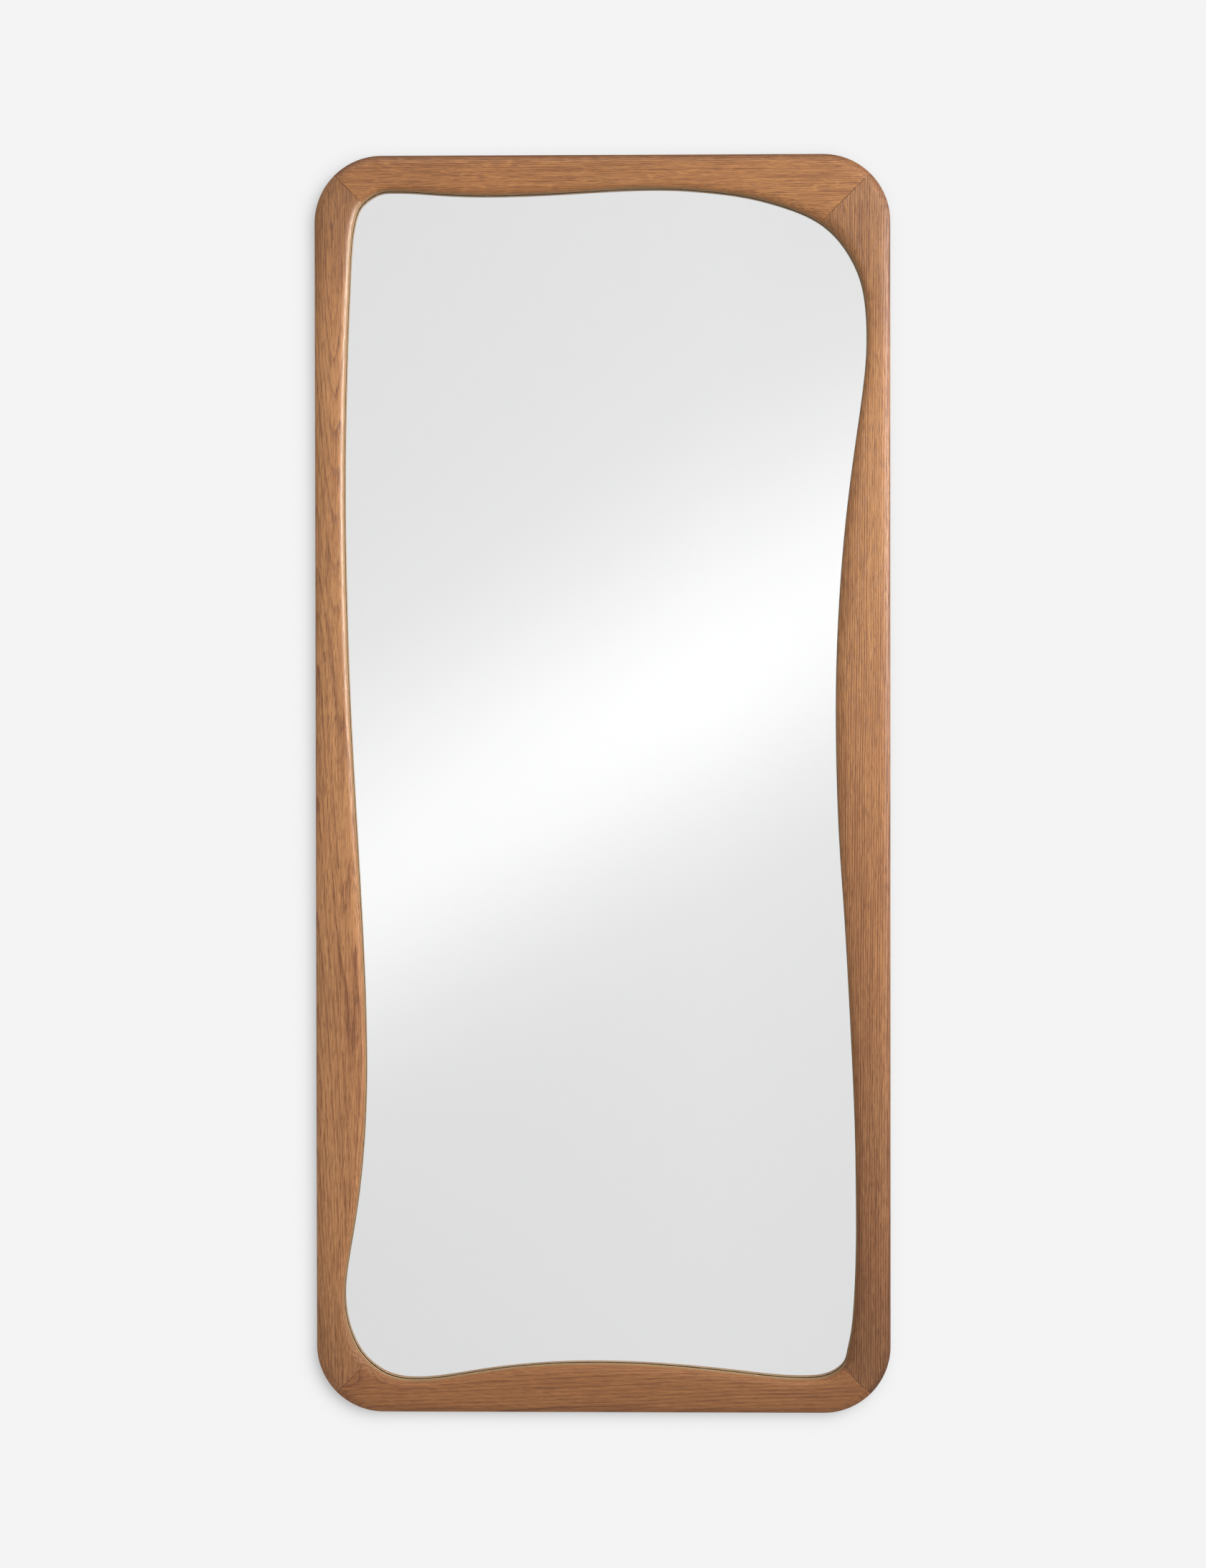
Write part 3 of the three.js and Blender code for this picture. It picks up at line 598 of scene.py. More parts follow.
def add_member(side, opening, whole, material):
    """One carved member as a closed mesh that stands for its CAD node."""
    lines = stations(side, opening)
    outer, rebate, inner = lines[:, 0], lines[:, 1], lines[:, 2]
    width = np.hypot(*(inner - outer).T)
    inwards = (inner - outer) / width[:, None]
    curve = 1 - np.cos(math.pi / 2 * np.arange(ROUND_STEPS + 1) / ROUND_STEPS)
    roll = inner_round(width)
    face = width - roll - OUTER_ROUND
    shares = np.arange(1, FACE_STEPS) / FACE_STEPS
    offsets = np.concatenate([
        np.tile(OUTER_ROUND * curve, (len(width), 1)),
        OUTER_ROUND + face[:, None] * shares,
        width[:, None] - roll[:, None] * curve[::-1],
    ], 1)
    front = outer[:, None] + inwards[:, None] * offsets[..., None]
    flat = front.reshape(-1, 2)
    from_edge = depth_from_edge(flat)
    from_opening = distance_to_path(flat, whole)
    level = front_at(from_edge, from_opening).reshape(front.shape[:2])
    level[[0, -1], 1:-1] += GROOVE_DEPTH

    def row(plan, y):
        return np.concatenate([plan[:, :1], np.full((len(plan), 1), y), plan[:, 1:]], 1)

    halfway = BACK_EASE * (1 - math.sqrt(0.5))
    back = [row(rebate, 0), row(outer + inwards * BACK_EASE, 0),
            row(outer + inwards * halfway, -halfway), row(outer, -BACK_EASE)]
    lip = [row(inner, REBATE_FLOOR - LIP_ROW), row(inner, REBATE_FLOOR),
           row(rebate, REBATE_FLOOR)]
    face_points = np.stack([front[..., 0], level, front[..., 1]], -1)
    rings = np.concatenate([np.stack(back, 1), face_points, np.stack(lip, 1)], 1)

    count, size = rings.shape[:2]
    points = rings.reshape(-1, 3)
    index = np.arange(count * size).reshape(count, size)
    here, after = index[:-1], np.roll(index, -1, axis=1)[:-1]
    ahead, both = index[1:], np.roll(index, -1, axis=1)[1:]
    quads = np.stack([here, after, both, ahead], -1).reshape(-1, 4)

    ends = [index[0][::-1].tolist(), index[-1].tolist()]
    mesh = new_mesh(side[0] + "_carved", (points * MM).tolist(), quads.tolist() + ends)
    plan = points[:, [0, 2]]
    along = plan @ np.array(side[1], float)
    inset = side[4] - plan @ np.array(side[2], float)
    near = {
        "from_edge": depth_from_edge(plan),
        "from_opening": distance_to_path(plan, whole),
        "from_mitre": (side[3] - inset - np.abs(along)) / math.sqrt(2),
    }
    for name, values in near.items():
        layer = mesh.attributes.new(name, "FLOAT", "POINT")
        layer.data.foreach_set("value", np.maximum(values, 0).astype(np.float32) * MM)
    return add_piece(mesh, material, side[0])


# ---- Pieces ----

def link(item):
    bpy.context.scene.collection.objects.link(item)
    return item


def new_mesh(name, points, faces):
    mesh = bpy.data.meshes.new(name)
    mesh.from_pydata(points, [], faces)
    return mesh


def face_outwards(mesh, split_over=None):
    """Turns a closed mesh's faces outwards, and splits those with too many corners."""
    edit = bmesh.new()
    edit.from_mesh(mesh)
    if split_over:
        wide = [face for face in edit.faces if len(face.verts) > split_over]
        bmesh.ops.triangulate(edit, faces=wide)
    bmesh.ops.recalc_face_normals(edit, faces=edit.faces)
    edit.to_mesh(mesh)
    edit.free()


def middle_of(node):
    low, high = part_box(node)
    return (low + high) / 2


def add_piece(mesh, material, node, body="mirror", place=(0, 0, 0), turn=0.0, sharp=35):
    """A mesh as a piece that stands for one CAD node and rides on a body.

    turn is about Y, and edges sharper than `sharp` degrees stay sharp.
    """
    face_outwards(mesh, split_over=4)
    mesh.shade_smooth()
    mesh.set_sharp_from_angle(angle=math.radians(sharp))
    mesh.materials.clear()
    mesh.materials.append(material)
    piece = link(bpy.data.objects.new(mesh.name, mesh))
    piece.location = place
    piece.rotation_euler = (0, turn, 0)
    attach(piece, body)
    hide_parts(node)
    return piece


def lathe(name, profile, sides):
    """A closed turned mesh about Y. The profile runs from axis to axis as (radius, y) in mm."""
    points, faces, rings = [], [], []
    for radius, y in profile:
        if radius == 0:
            rings.append([len(points)])
            points.append((0, y * MM, 0))
            continue
        rings.append(list(range(len(points), len(points) + sides)))
        for i in range(sides):
            angle = TURN * i / sides
            points.append((radius * MM * math.cos(angle), y * MM,
                           radius * MM * math.sin(angle)))
    for low, high in zip(rings, rings[1:]):
        for i in range(sides):
            j = (i + 1) % sides
            corners = [low[i % len(low)], low[j % len(low)], high[j % len(high)],
                       high[i % len(high)]]
            faces.append(list(dict.fromkeys(corners)))
    return new_mesh(name, points, faces)


def circle(radius, sides, centre=(0, 0), clockwise=False):
    sign = -1 if clockwise else 1
    return [(centre[0] + radius * math.cos(TURN * sign * i / sides),
             centre[1] + radius * math.sin(TURN * sign * i / sides)) for i in range(sides)]


def wall_between(low, high):
    """Quads between two closed loops of point numbers."""
    after = [*range(1, len(low)), 0]
    return [[low[i], low[j], high[j], high[i]] for i, j in enumerate(after)]


def fill(rim, holes, grid, height, points):
    """Faces over a rim, given as loops of point numbers, that leave its holes open.

    The grid's points inside are added to `points` at `height`.
    """
    numbers = [number for loop in rim for number in loop]
    border = [points[number][:2] for number in numbers]
    edges, begin = [], 0
    for loop in rim:
        edges += [(begin + i, begin + (i + 1) % len(loop)) for i in range(len(loop))]
        begin += len(loop)
    spots, _, triangles, origins, *_ = delaunay_2d_cdt(
        [Vector(spot) for spot in [*border, *grid]], edges, [], 2, 1e-6)
    local = []
    for spot, sources in zip(spots, origins):
        on_border = [source for source in sources if source < len(border)]
        if on_border:
            local.append(numbers[on_border[0]])
        else:
            local.append(len(points))
            points.append((spot.x, spot.y, height))
    faces = []
    for corners in triangles:
        middle = sum((spots[k] for k in corners), Vector((0, 0))) / len(corners)
        if not any(inside(middle, hole) for hole in holes):
            faces.append([local[k] for k in corners])
    return faces


def plate(name, loops_at, thickness, bevel, bend, grid=()):
    """A flat plate with holes and bevelled rims, bent by a function.

    loops_at(shrink) gives the outline and then the holes, each pulled in from its rim by
    `shrink`. grid is extra points inside, and bend turns (u, v, height) in mm into (x, y, z).
    """
    levels = [(bevel, 0.0), (0.0, bevel), (0.0, thickness - bevel), (bevel, thickness)]
    points, faces, rims = [], [], []
    for shrink, height in levels:
        rim = []
        for loop in loops_at(shrink):
            rim.append(list(range(len(points), len(points) + len(loop))))
            points += [(u, v, height) for u, v in loop]
        rims.append(rim)
    for low, high in zip(rims, rims[1:]):
        for low_loop, high_loop in zip(low, high):
            faces += wall_between(low_loop, high_loop)
    holes = loops_at(bevel)[1:]
    for rim, height in ((rims[0], 0.0), (rims[-1], thickness)):
        faces += fill(rim, holes, grid, height, points)
    used = sorted({number for face in faces for number in face})
    place_of = {number: place for place, number in enumerate(used)}
    return new_mesh(name, [bend(*points[number]) for number in used],
                    [[place_of[number] for number in face] for face in faces])


def inside(point, loop):
    hit = False
    for (ax, ay), (bx, by) in zip(loop, [*loop[1:], loop[0]]):
        if (ay > point.y) != (by > point.y):
            hit ^= point.x < ax + (point.y - ay) * (bx - ax) / (by - ay)
    return hit


def stadium(left, right, radius, sides):
    """A bar with round ends whose end circles stand at left and right on the u axis."""
    half = [TURN * i / sides - TURN / 4 for i in range(sides // 2 + 1)]
    return ([(right + radius * math.cos(a), radius * math.sin(a)) for a in half]
            + [(left - radius * math.cos(a), -radius * math.sin(a)) for a in half])


def rounded_rectangle(half_u, half_v, radius, steps):
    loop = []
    for quarter in range(4):
        su = (1, -1, -1, 1)[quarter]
        sv = (1, 1, -1, -1)[quarter]
        for step in range(steps + 1):
            angle = TURN / 4 * (quarter + step / steps)
            loop.append((su * (half_u - radius) + radius * math.cos(angle),
                         sv * (half_v - radius) + radius * math.sin(angle)))
    return loop


# ---- The mirror ----

STILE_LIGHT, STILE_DARK = (0.505, 0.243, 0.094), (0.190, 0.063, 0.020)
TOP_LIGHT, TOP_DARK = (0.440, 0.194, 0.064), (0.170, 0.055, 0.017)
BOTTOM_LIGHT, BOTTOM_DARK = (0.325, 0.134, 0.041), (0.125, 0.039, 0.013)
LEFT_PITH = [(-0.85, -0.335, 0.010), (0.22, -0.379, -0.003), (0.80, -0.380, -0.033)]
RIGHT_PITH = [(-0.85, 0.150, 0.062), (0.0, 0.155, 0.060), (0.85, 0.160, 0.058)]
TOP_PITH = [(-0.40, 0.700, 0.025), (0.0, 0.705, 0.030), (0.40, 0.710, 0.034)]
BOTTOM_PITH = [(-0.40, -0.805, 0.038), (0.0, -0.800, 0.045), (0.40, -0.795, 0.052)]
# Each member's edge sets its rim's stain and painted shade, low and ends its painted shade, and
# crest its painted highlight
members = {
    "left_stile": oak("oak_left_stile", "Z", LEFT_PITH, pitch=0.0029, seed=1.0, rings=0.55,
                      pores=0.95, flecks=0.10, light=STILE_LIGHT, dark=STILE_DARK, low=0.15,
                      ends=0.60, crest=0.38),
    "right_stile": oak("oak_right_stile", "Z", RIGHT_PITH, pitch=0.0031, seed=2.0, rings=0.90,
                       pores=1.00, flecks=0.15, light=STILE_LIGHT, dark=STILE_DARK, edge=0.80,
                       low=0.75, ends=0.50),
    "top_rail": oak("oak_top_rail", "X", TOP_PITH, pitch=0.0026, seed=3.0, rings=0.50,
                    pores=0.95, flecks=0.35, light=TOP_LIGHT, dark=TOP_DARK, edge=0.70),
    "bottom_rail": oak("oak_bottom_rail", "X", BOTTOM_PITH, pitch=0.0034, seed=4.0, rings=0.65,
                       pores=0.95, flecks=0.15, light=BOTTOM_LIGHT, dark=BOTTOM_DARK,
                       edge=0.15),
}
paths = opening_paths()
whole = np.concatenate([path[1:] for path in paths] + [paths[0][1:2]])
for side, opening in zip(SIDES, paths):
    add_member(side, opening, whole, members[side[0]])

ZINC = zinc("zinc_plated_steel")
RUBBER = rubber("moulded_rubber")
BOARD = rough_board("fibre_board", (0.330, 0.205, 0.110), (0.200, 0.115, 0.058), 0.5)

kept_looks = {
    "mirror_glass": float_glass("float_glass"),
    "mirror_silvering": silvering("silver_coat"),
    "filler_sheet": corrugated("kraft_cardboard"),
}
beech = plain_wood("beech", (0.62, 0.42, 0.25), (0.50, 0.32, 0.18))
for corner in CORNER_INSETS:
    kept_looks["tenon_" + corner] = beech
for node, material in kept_looks.items():
    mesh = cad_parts[node].data
    mesh.materials.clear()
    mesh.materials.append(material)


def flat_at(level):
    """A bend for plate() that lays it flat, with its underside at Y = level metres."""
    return lambda u, v, height: (u * MM, level + height * MM, v * MM)


# Backing board
board_low, board_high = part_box("backing_board")
board_size = (board_high - board_low) / MM
BOARD_EDGE, BOARD_GAP = 0.4, 1.0


def board_loops(shrink):
    radius = CORNER_RADIUS - LAND - BOARD_GAP - shrink
    return [rounded_rectangle(board_size.x / 2 - shrink, board_size.z / 2 - shrink, radius, 16)]


board = plate("backing_board_sheet", board_loops, board_size.y, BOARD_EDGE,
              flat_at(board_low.y))
add_piece(board, BOARD, "backing_board")

# Turn buttons: stamped bars with round ends, a rim bevel and a hole for the screw
BUTTON_REACH, BUTTON_TAIL, BUTTON_RADIUS = 23.0, 7.0, 6.0
BUTTON_THICKNESS, BUTTON_BEVEL, HOLE_RADIUS = 1.5, 0.28, 2.0


def button_loops(shrink):
    bar = stadium(BUTTON_RADIUS - BUTTON_TAIL, BUTTON_REACH - BUTTON_RADIUS,
                  BUTTON_RADIUS - shrink, 40)
    return [bar, circle(HOLE_RADIUS + shrink, 28, clockwise=True)]


# Wood screws, in mm from the seat of the head, with the shank along -Y
HEAD_RADIUS, HEAD_HEIGHT, HEAD_RIM = 3.6, 2.2, 0.25
SHANK_RADIUS, SCREW_LENGTH, PLAIN_SHANK = 1.6, 15.0, 2.4
TIP_RADIUS, TIP_LENGTH, CORE_AT_TIP, CORE_GROWTH = 0.5, 0.7, 0.6, 0.25
THREAD_TURNS, THREAD_START, THREAD_PITCH, THREAD_HEIGHT = 9, 1.6, 1.1, 0.35
THREAD_CREST, THREAD_END = 0.4, 0.8
HEAD_STEPS, HEAD_FLATNESS = 8, 0.7
RECESS_REACH, RECESS_HALF, RECESS_DEPTH, RECESS_FLOOR_SHARE = 2.0, 0.45, 1.5, 0.35


def screw_profile():
    profile = [(0, -SCREW_LENGTH), (TIP_RADIUS, TIP_LENGTH - SCREW_LENGTH)]
    for number in range(THREAD_TURNS):
        y = THREAD_START - SCREW_LENGTH + number * THREAD_PITCH
        core = min(SHANK_RADIUS - THREAD_HEIGHT, CORE_AT_TIP + CORE_GROWTH * number)
        crest = min(SHANK_RADIUS, core + THREAD_HEIGHT)
        profile += [(core, y), (crest, y + THREAD_CREST), (core, y + THREAD_END)]
    profile += [(SHANK_RADIUS, -PLAIN_SHANK), (SHANK_RADIUS, 0), (HEAD_RADIUS - HEAD_RIM, 0),
                (HEAD_RADIUS, HEAD_RIM)]
    for step in range(1, HEAD_STEPS):
        angle = math.pi / 2 * step / HEAD_STEPS
        profile.append((HEAD_RADIUS * math.cos(angle) ** HEAD_FLATNESS,
                        HEAD_RIM + (HEAD_HEIGHT - HEAD_RIM) * math.sin(angle)))
    return profile + [(0, HEAD_HEIGHT)]


def recess_mesh():
    """The cross recess as two tapered blocks that narrow towards its floor."""
    points, faces = [], []
    for swap in (False, True):
        begin = len(points)
        for y, share in ((HEAD_HEIGHT - RECESS_DEPTH, RECESS_FLOOR_SHARE),
                         (HEAD_HEIGHT + 0.5, 1.0)):
            for su, sv in ((1, 1), (-1, 1), (-1, -1), (1, -1)):
                u, v = su * RECESS_REACH * share, sv * RECESS_HALF * (0.6 + 0.4 * share)
                u, v = (v, u) if swap else (u, v)
                points.append((u * MM, y * MM, v * MM))
        for loop in ((0, 1, 2, 3), (4, 5, 6, 7), (0, 1, 5, 4), (1, 2, 6, 5), (2, 3, 7, 6),
                     (3, 0, 4, 7)):
            faces.append([begin + k for k in loop])
    return new_mesh("recess", points, faces)


def screw_mesh():
    """A pan-headed wood screw with a cross recess, pointing along -Y from y = 0."""
    body, recess = lathe("screw", screw_profile(), 28), recess_mesh()
    for mesh in (body, recess):
        face_outwards(mesh)
    solid = link(bpy.data.objects.new("screw_solid", body))
    tool = link(bpy.data.objects.new("screw_recess", recess))
    cut = solid.modifiers.new("recess", "BOOLEAN")
    cut.operation, cut.solver, cut.object, cut.use_self = "DIFFERENCE", "EXACT", tool, True
    bpy.context.view_layer.update()
    made = bpy.data.meshes.new_from_object(
        solid.evaluated_get(bpy.context.evaluated_depsgraph_get()))
    for item in (solid, tool):
        bpy.data.objects.remove(item)
    return made


screw = screw_mesh()


def add_screw(node, twist):
    """A screw whose head rests where its CAD node's head does."""
    centre, top = middle_of(node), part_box(node)[1].y
    mesh = screw.copy()
    mesh.name = node + "_screw"
    add_piece(mesh, ZINC, node, place=(centre.x, top - HEAD_HEIGHT * MM, centre.z), turn=twist,
              sharp=30)


for number in range(1, 9):
    node = f"turn_button_{number}"
    pivot = middle_of(f"button_screw_{number}")
    reach = middle_of(node) - pivot
    mesh = plate(node + "_bar", button_loops, BUTTON_THICKNESS, BUTTON_BEVEL, flat_at(0.0))
    add_piece(mesh, ZINC, node, body=node, place=(pivot.x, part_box(node)[0].y, pivot.z),
              turn=math.atan2(-reach.z, reach.x))
    add_screw(f"button_screw_{number}", 0.7 * number)

# Strap hangers
STRAP_HALF, STRAP_LENGTH, STRAP_THICKNESS, STRAP_CORNER = 6.5, 74.0, 1.2, 2.5
CURL_RADIUS, CURL_END, STRAP_BEVEL = 3.0, math.radians(118), 0.18
CURL_MIDDLE = CURL_RADIUS - STRAP_THICKNESS / 2
STRAP_HOLES = (22, 42, 62)
STRAP_STEPS, CORNER_ARC_STEPS = 44, 8


def strap_loops(shrink):
    """The strap laid flat: u across, v along, 0 where the curl starts and down from there."""
    top = CURL_MIDDLE * (math.pi + CURL_END) - shrink
    side, low, corner = STRAP_HALF - shrink, shrink - STRAP_LENGTH, STRAP_CORNER - shrink
    rise = top - low - corner
    loop = [(side, low + corner + rise * i / STRAP_STEPS) for i in range(STRAP_STEPS + 1)]
    loop += [(-u, v) for u, v in loop[::-1]]
    for centre, start in ((-side + corner, math.pi), (side - corner, 1.5 * math.pi)):
        for step in range(1, CORNER_ARC_STEPS):
            angle = start + math.pi / 2 * step / CORNER_ARC_STEPS
            loop.append((centre + corner * math.cos(angle),
                         low + corner + corner * math.sin(angle)))
    holes = [circle(HOLE_RADIUS + shrink, 24, (0, -drop), clockwise=True)
             for drop in STRAP_HOLES]
    return [loop, *holes]


def strap_bend(u, v, height):
    if v <= 0:
        return (u * MM, height * MM, v * MM)
    angle, radius = v / CURL_MIDDLE, CURL_RADIUS - height
    return (u * MM, (CURL_RADIUS - radius * math.cos(angle)) * MM,
            radius * math.sin(angle) * MM)


strap_grid = [(u, 0.5 + 0.5 * k) for k in range(20) for u in (-4.4, -2.2, 0, 2.2, 4.4)]

# D rings
RING_HALF, RING_DROP, RING_WIRE, RING_BEND = 8.7, 6.0, 1.5, 2.1
WIRE_SIDES = 18


def ring_line():
    """The middle line of the wire: the bar, a bend, the round bow and the other bend."""
    end = RING_HALF - RING_BEND
    line = [(u, 0.0) for u in np.linspace(-end, end, 8)]
    line += [(end + RING_BEND * math.sin(a), RING_BEND * (math.cos(a) - 1))
             for a in np.linspace(0, math.pi / 2, 9)[1:]]
    line += [(RING_HALF * math.cos(a), -RING_DROP + RING_HALF * math.sin(a))
             for a in np.linspace(0, -math.pi, 41)]
    line += [(-end - RING_BEND * math.cos(a), RING_BEND * (math.sin(a) - 1))
             for a in np.linspace(0, math.pi / 2, 9)[:-1]]
    return line


def ring_mesh(name):
    """A D ring of round wire that hangs from its bar, whose middle is the origin."""
    line = ring_line()
    points, faces = [], []
    for i, (u, v) in enumerate(line):
        before, after = line[i - 1], line[(i + 1) % len(line)]
        run = Vector((after[0] - before[0], after[1] - before[1])).normalized()
        for k in range(WIRE_SIDES):
            angle = TURN * k / WIRE_SIDES
            swing = RING_WIRE * math.cos(angle)
            points.append(((u + swing * run.y) * MM, RING_WIRE * math.sin(angle) * MM,
                           (v - swing * run.x) * MM))
    loops = [list(range(i * WIRE_SIDES, (i + 1) * WIRE_SIDES)) for i in range(len(line))]
    for here, after in zip(loops, [*loops[1:], loops[0]]):
        faces += wall_between(here, after)
    return new_mesh(name, points, faces)


for name in ("left", "right"):
    node, ring = f"hanger_strap_{name}", f"hanger_ring_{name}"
    low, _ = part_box(node)
    bar = Vector((middle_of(node).x, low.y, low.z + STRAP_LENGTH * MM))
    strap = plate(node + "_plate", strap_loops, STRAP_THICKNESS, STRAP_BEVEL, strap_bend,
                  strap_grid)
    add_piece(strap, ZINC, node, place=bar)
    add_piece(ring_mesh(ring + "_wire"), ZINC, ring, body=ring,
              place=bar + Vector((0, CURL_RADIUS * MM, 0)))
    for number in (1, 2, 3):
        add_screw(f"hanger_screw_{name}_{number}", 0.4 + 1.1 * number)

# Rubber bumpers with a moulded rim and a dished top
BUMPER_PROFILE = [
    (0, 0), (6.6, 0), (6.9, 0.1), (7.0, 0.4), (6.95, 1.2), (6.72, 5.2), (6.55, 6.6), (6.2, 7.5),
    (5.7, 7.9), (5.1, 8.0), (4.5, 7.85), (4.0, 7.5), (3.2, 7.3), (0, 7.25),
]
for number in range(1, 5):
    node = f"bumper_{number}"
    centre = middle_of(node)
    mesh = lathe(node + "_foot", BUMPER_PROFILE, 40)
    add_piece(mesh, RUBBER, node, place=(centre.x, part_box(node)[0].y, centre.z),
              turn=0.3 * number)


# ---- Stage, light and camera ----

PALE = (0.905, 0.905, 0.905)
FLOOR_Z, FLOOR_REACH = -1.55, 90
WALL_Y, WALL_REACH, WALL_TOP = 0.0092, 7, 6

# The shadow on the wall: its box's half sizes, corner radius and place. It is at its
# strongest at SHADOW_LAP inside the box, and falls off over about SHADOW_FALL.
SHADOW_HALF, SHADOW_RADIUS, SHADOW_SHIFT = (0.4090, 0.8963), 0.095, (-0.0095, -0.0070)
SHADOW_LAP, SHADOW_FALL, SHADOW_CURVE, SHADOW_DEPTH = 0.008, 0.0115, 1.35, 0.41

# The glow that the glass reflects: its place ahead, its slope and its reach each way
GLOW_PLACE, GLOW_SLOPE, GLOW_ABOVE, GLOW_BELOW = (-0.0408, -0.0108), 0.603, 0.0540, 0.0440
FRONT_TOP, FRONT_BOTTOM, GLOW_EXTRA = 0.865, 0.835, 0.22
BEHIND = (0.25, 0.25, 0.255)


def slab(name, corners, material):
    item = link(bpy.data.objects.new(name, new_mesh(name, corners, [(0, 1, 2, 3)])))
    item.data.materials.append(material)
    return item


def wall_shadow(g, x, z):
    """How much darker the wall is at a place, by its distance from a rounded box."""
    x = g.math("ABSOLUTE", g.add(x, -SHADOW_SHIFT[0]))
    z = g.math("ABSOLUTE", g.add(z, -SHADOW_SHIFT[1]))
    x = g.add(x, SHADOW_RADIUS - SHADOW_HALF[0])
    z = g.add(z, SHADOW_RADIUS - SHADOW_HALF[1])
    past_x, past_z = g.math("MAXIMUM", x, 0), g.math("MAXIMUM", z, 0)
    outside = g.math("SQRT", g.add(g.scale(past_x, past_x), g.scale(past_z, past_z)))
    within = g.math("MINIMUM", g.math("MAXIMUM", x, z), 0)
    gap = g.add(g.add(outside, within), SHADOW_LAP - SHADOW_RADIUS)
    fall = g.math("POWER", g.scale(g.math("MAXIMUM", gap, 0), 1 / SHADOW_FALL), SHADOW_CURVE)
    return g.scale(g.math("EXPONENT", g.scale(fall, -1)), SHADOW_DEPTH)


def add_wall():
    """A wall that shows only from the front, lights nothing and is clear from behind."""
    material, g = new_material("pale_wall")
    _, (x, _, z) = g.place()
    glow = g.node("Emission")
    g.feed(glow.inputs["Color"], PALE)
    g.feed(glow.inputs["Strength"], g.math("SUBTRACT", 1, wall_shadow(g, x, z)))
    choice = g.node("MixShader")
    g.feed(choice.inputs[0], g.node("NewGeometry").outputs["Backfacing"])
    g.feed(choice.inputs[1], glow.outputs[0])
    g.feed(choice.inputs[2], g.node("BsdfTransparent").outputs[0])
    g.feed(g.node("OutputMaterial").inputs["Surface"], choice.outputs[0])
    wall = slab("wall", [(-WALL_REACH, WALL_Y, FLOOR_Z), (WALL_REACH, WALL_Y, FLOOR_Z),
                         (WALL_REACH, WALL_Y, WALL_TOP), (-WALL_REACH, WALL_Y, WALL_TOP)],
                material)
    for kind in ("diffuse", "glossy", "transmission", "shadow", "volume_scatter"):
        setattr(wall, "visible_" + kind, False)


def add_floor():
    material, g = new_material("pale_floor")
    vector, _ = g.place()
    speckle = g.noise(vector, scale=30, detail=4)
    glow = g.node("Emission")
    g.feed(glow.inputs["Color"], g.mix(speckle, (0.80, 0.80, 0.80), (0.83, 0.83, 0.83)))
    g.feed(g.node("OutputMaterial").inputs["Surface"], glow.outputs[0])
    floor = slab("floor", [(-FLOOR_REACH, -FLOOR_REACH, FLOOR_Z),
                           (FLOOR_REACH, -FLOOR_REACH, FLOOR_Z),
                           (FLOOR_REACH, FLOOR_REACH, FLOOR_Z),
                           (-FLOOR_REACH, FLOOR_REACH, FLOOR_Z)], material)
    floor.visible_glossy = False
    floor.visible_transmission = False


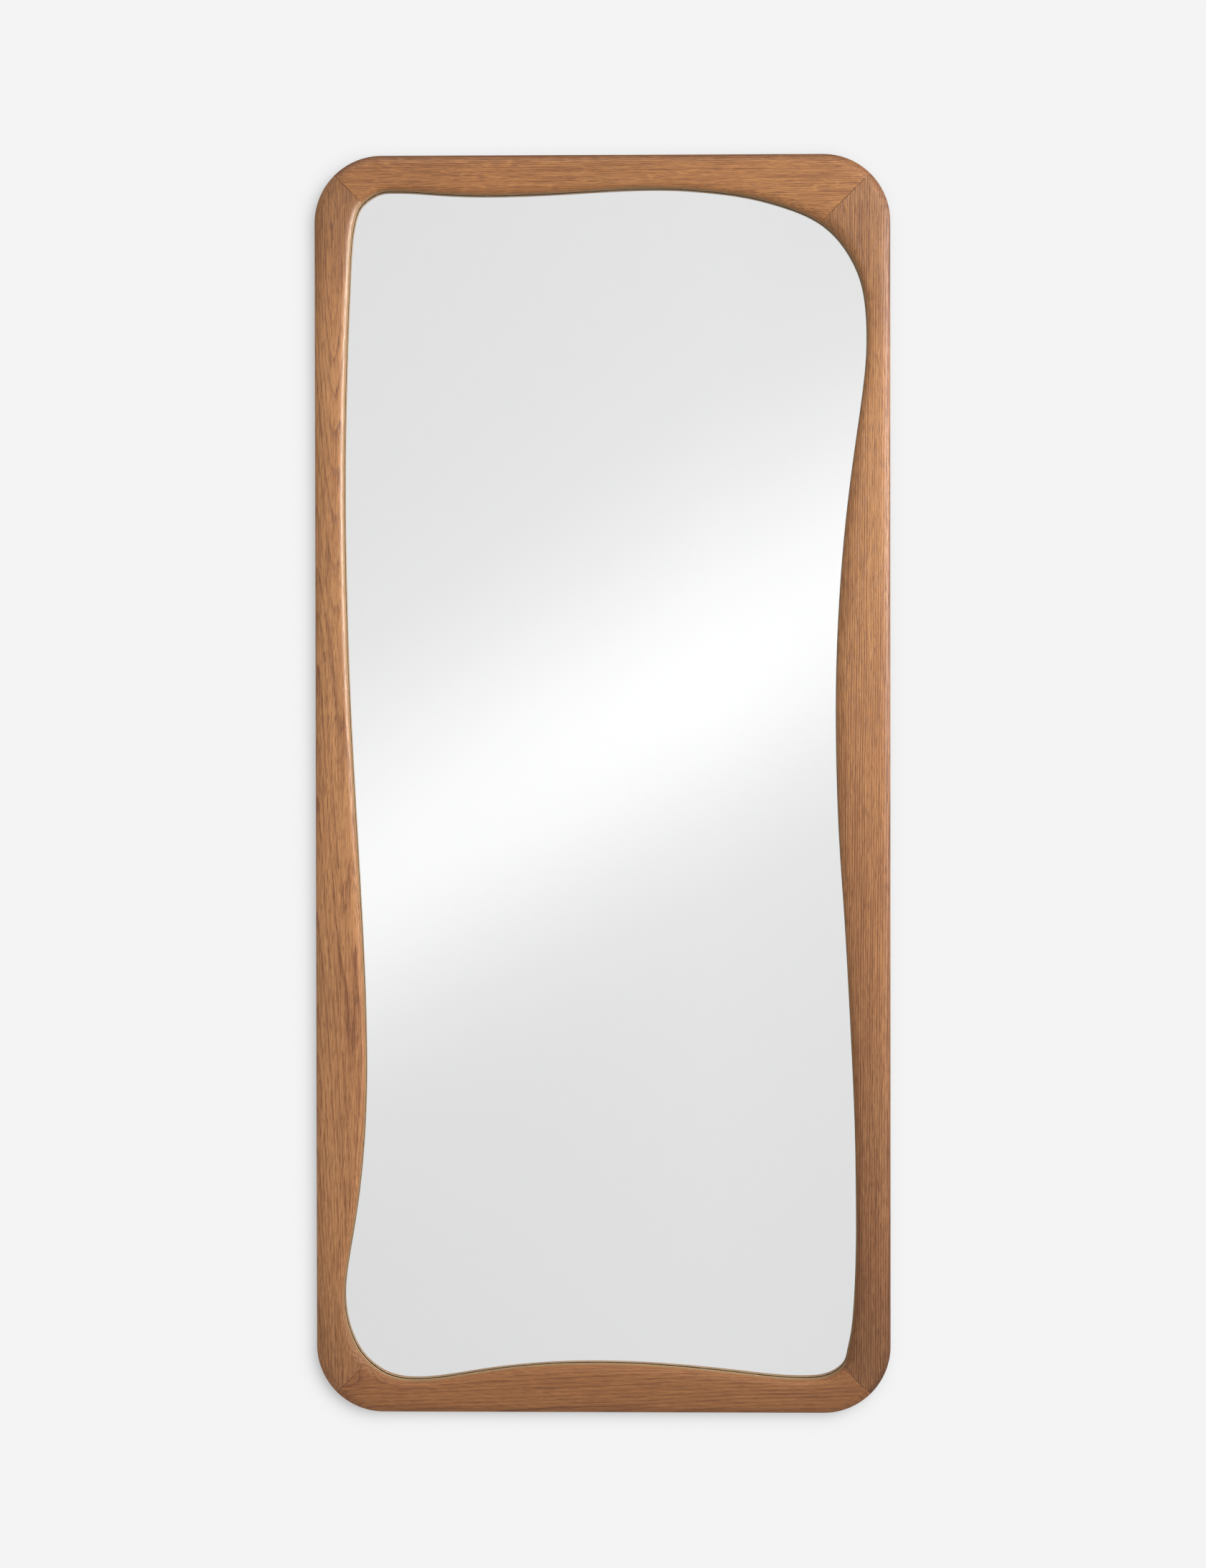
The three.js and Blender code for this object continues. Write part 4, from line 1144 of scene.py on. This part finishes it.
def studio_light(g, dx, dy, dz):
    """The light from each direction: bright in front with a soft diagonal glow that the glass
    reflects, dimmer to the sides and low down, and dimmer still from behind."""
    ahead = g.math("MAXIMUM", g.scale(dy, -1), 0.02)
    u, v = g.math("DIVIDE", dx, ahead), g.math("DIVIDE", dz, ahead)
    rise = g.add(g.add(v, -GLOW_PLACE[1]), g.scale(g.add(u, -GLOW_PLACE[0]), -GLOW_SLOPE))
    above = g.scale(g.math("MAXIMUM", rise, 0), 1 / GLOW_ABOVE)
    below = g.scale(g.math("MINIMUM", rise, 0), 1 / GLOW_BELOW)
    reach = g.add(above, below)
    band = g.math("EXPONENT", g.scale(g.scale(reach, reach), -math.log(2)))
    front = g.ease(v, -0.25, 0.25, FRONT_BOTTOM, FRONT_TOP)
    front = g.add(front, g.scale(band, GLOW_EXTRA))
    slope = g.scale(g.add(g.math("ABSOLUTE", dz), g.math("ABSOLUTE", dx)), -0.30)
    front = g.scale(front, g.add(slope, 1))
    front = g.scale(front, g.ease(dz, 0.42, 0.80, 1.0, 2.4))
    return g.mix(g.ease(dy, -0.15, 0.35), g.vector(front, front, front), BEHIND)


def add_world():
    """A world that is plain and pale to the camera and lights the mirror as a studio does."""
    world = bpy.data.worlds.new("studio")
    bpy.context.scene.world = world
    world.use_nodes = True
    g = Graph(world.node_tree)
    split = g.node("SeparateXYZ")
    g.feed(split.inputs[0], g.node("TexCoord").outputs["Generated"])
    is_camera = g.node("LightPath").outputs["Is Camera Ray"]
    background = g.node("Background")
    g.feed(background.inputs["Color"],
           g.mix(is_camera, studio_light(g, *split.outputs), PALE))
    g.feed(g.node("OutputWorld").inputs["Surface"], background.outputs[0])


def soft_box(name, place, target, size, power):
    lamp = bpy.data.lights.new(name, "AREA")
    lamp.shape, lamp.size, lamp.size_y = "RECTANGLE", *size
    lamp.energy = power
    item = link(bpy.data.objects.new(name, lamp))
    item.location = place
    item.rotation_euler = (Vector(target) - Vector(place)).to_track_quat("-Z", "Y").to_euler()
    item.visible_camera = False


add_wall()
add_floor()
add_world()
soft_box("side_light", (2.6, -0.42, 0.70), (0, 0, 0.5), (1.35, 1.5), 92)
soft_box("key_light", (1.7, -2.4, 1.5), (0, 0, 0), (1.8, 1.8), 24)
soft_box("back_light", (0.9, 3.3, 0.8), (0, 0, 0), (3.2, 3.2), 58)

# The camera looks slightly down and to the left and is rolled a hair, as in the photograph
CAMERA_DOWN, CAMERA_ROLL, CAMERA_YAW = (math.radians(angle) for angle in (0.536, 0.060, 0.960))
camera_data = bpy.data.cameras.new("camera")
camera_data.sensor_width = 36
camera_data.lens = 63.589
camera_data.shift_x = -0.0423
camera_data.shift_y = -0.0281
camera = link(bpy.data.objects.new("camera", camera_data))
camera.location = (0.16, -3.94, 0.10)
camera.rotation_euler = Euler((math.pi / 2 - CAMERA_DOWN, CAMERA_ROLL, CAMERA_YAW), "XYZ")
bpy.context.scene.camera = camera
bpy.context.scene.view_settings.view_transform = "Standard"
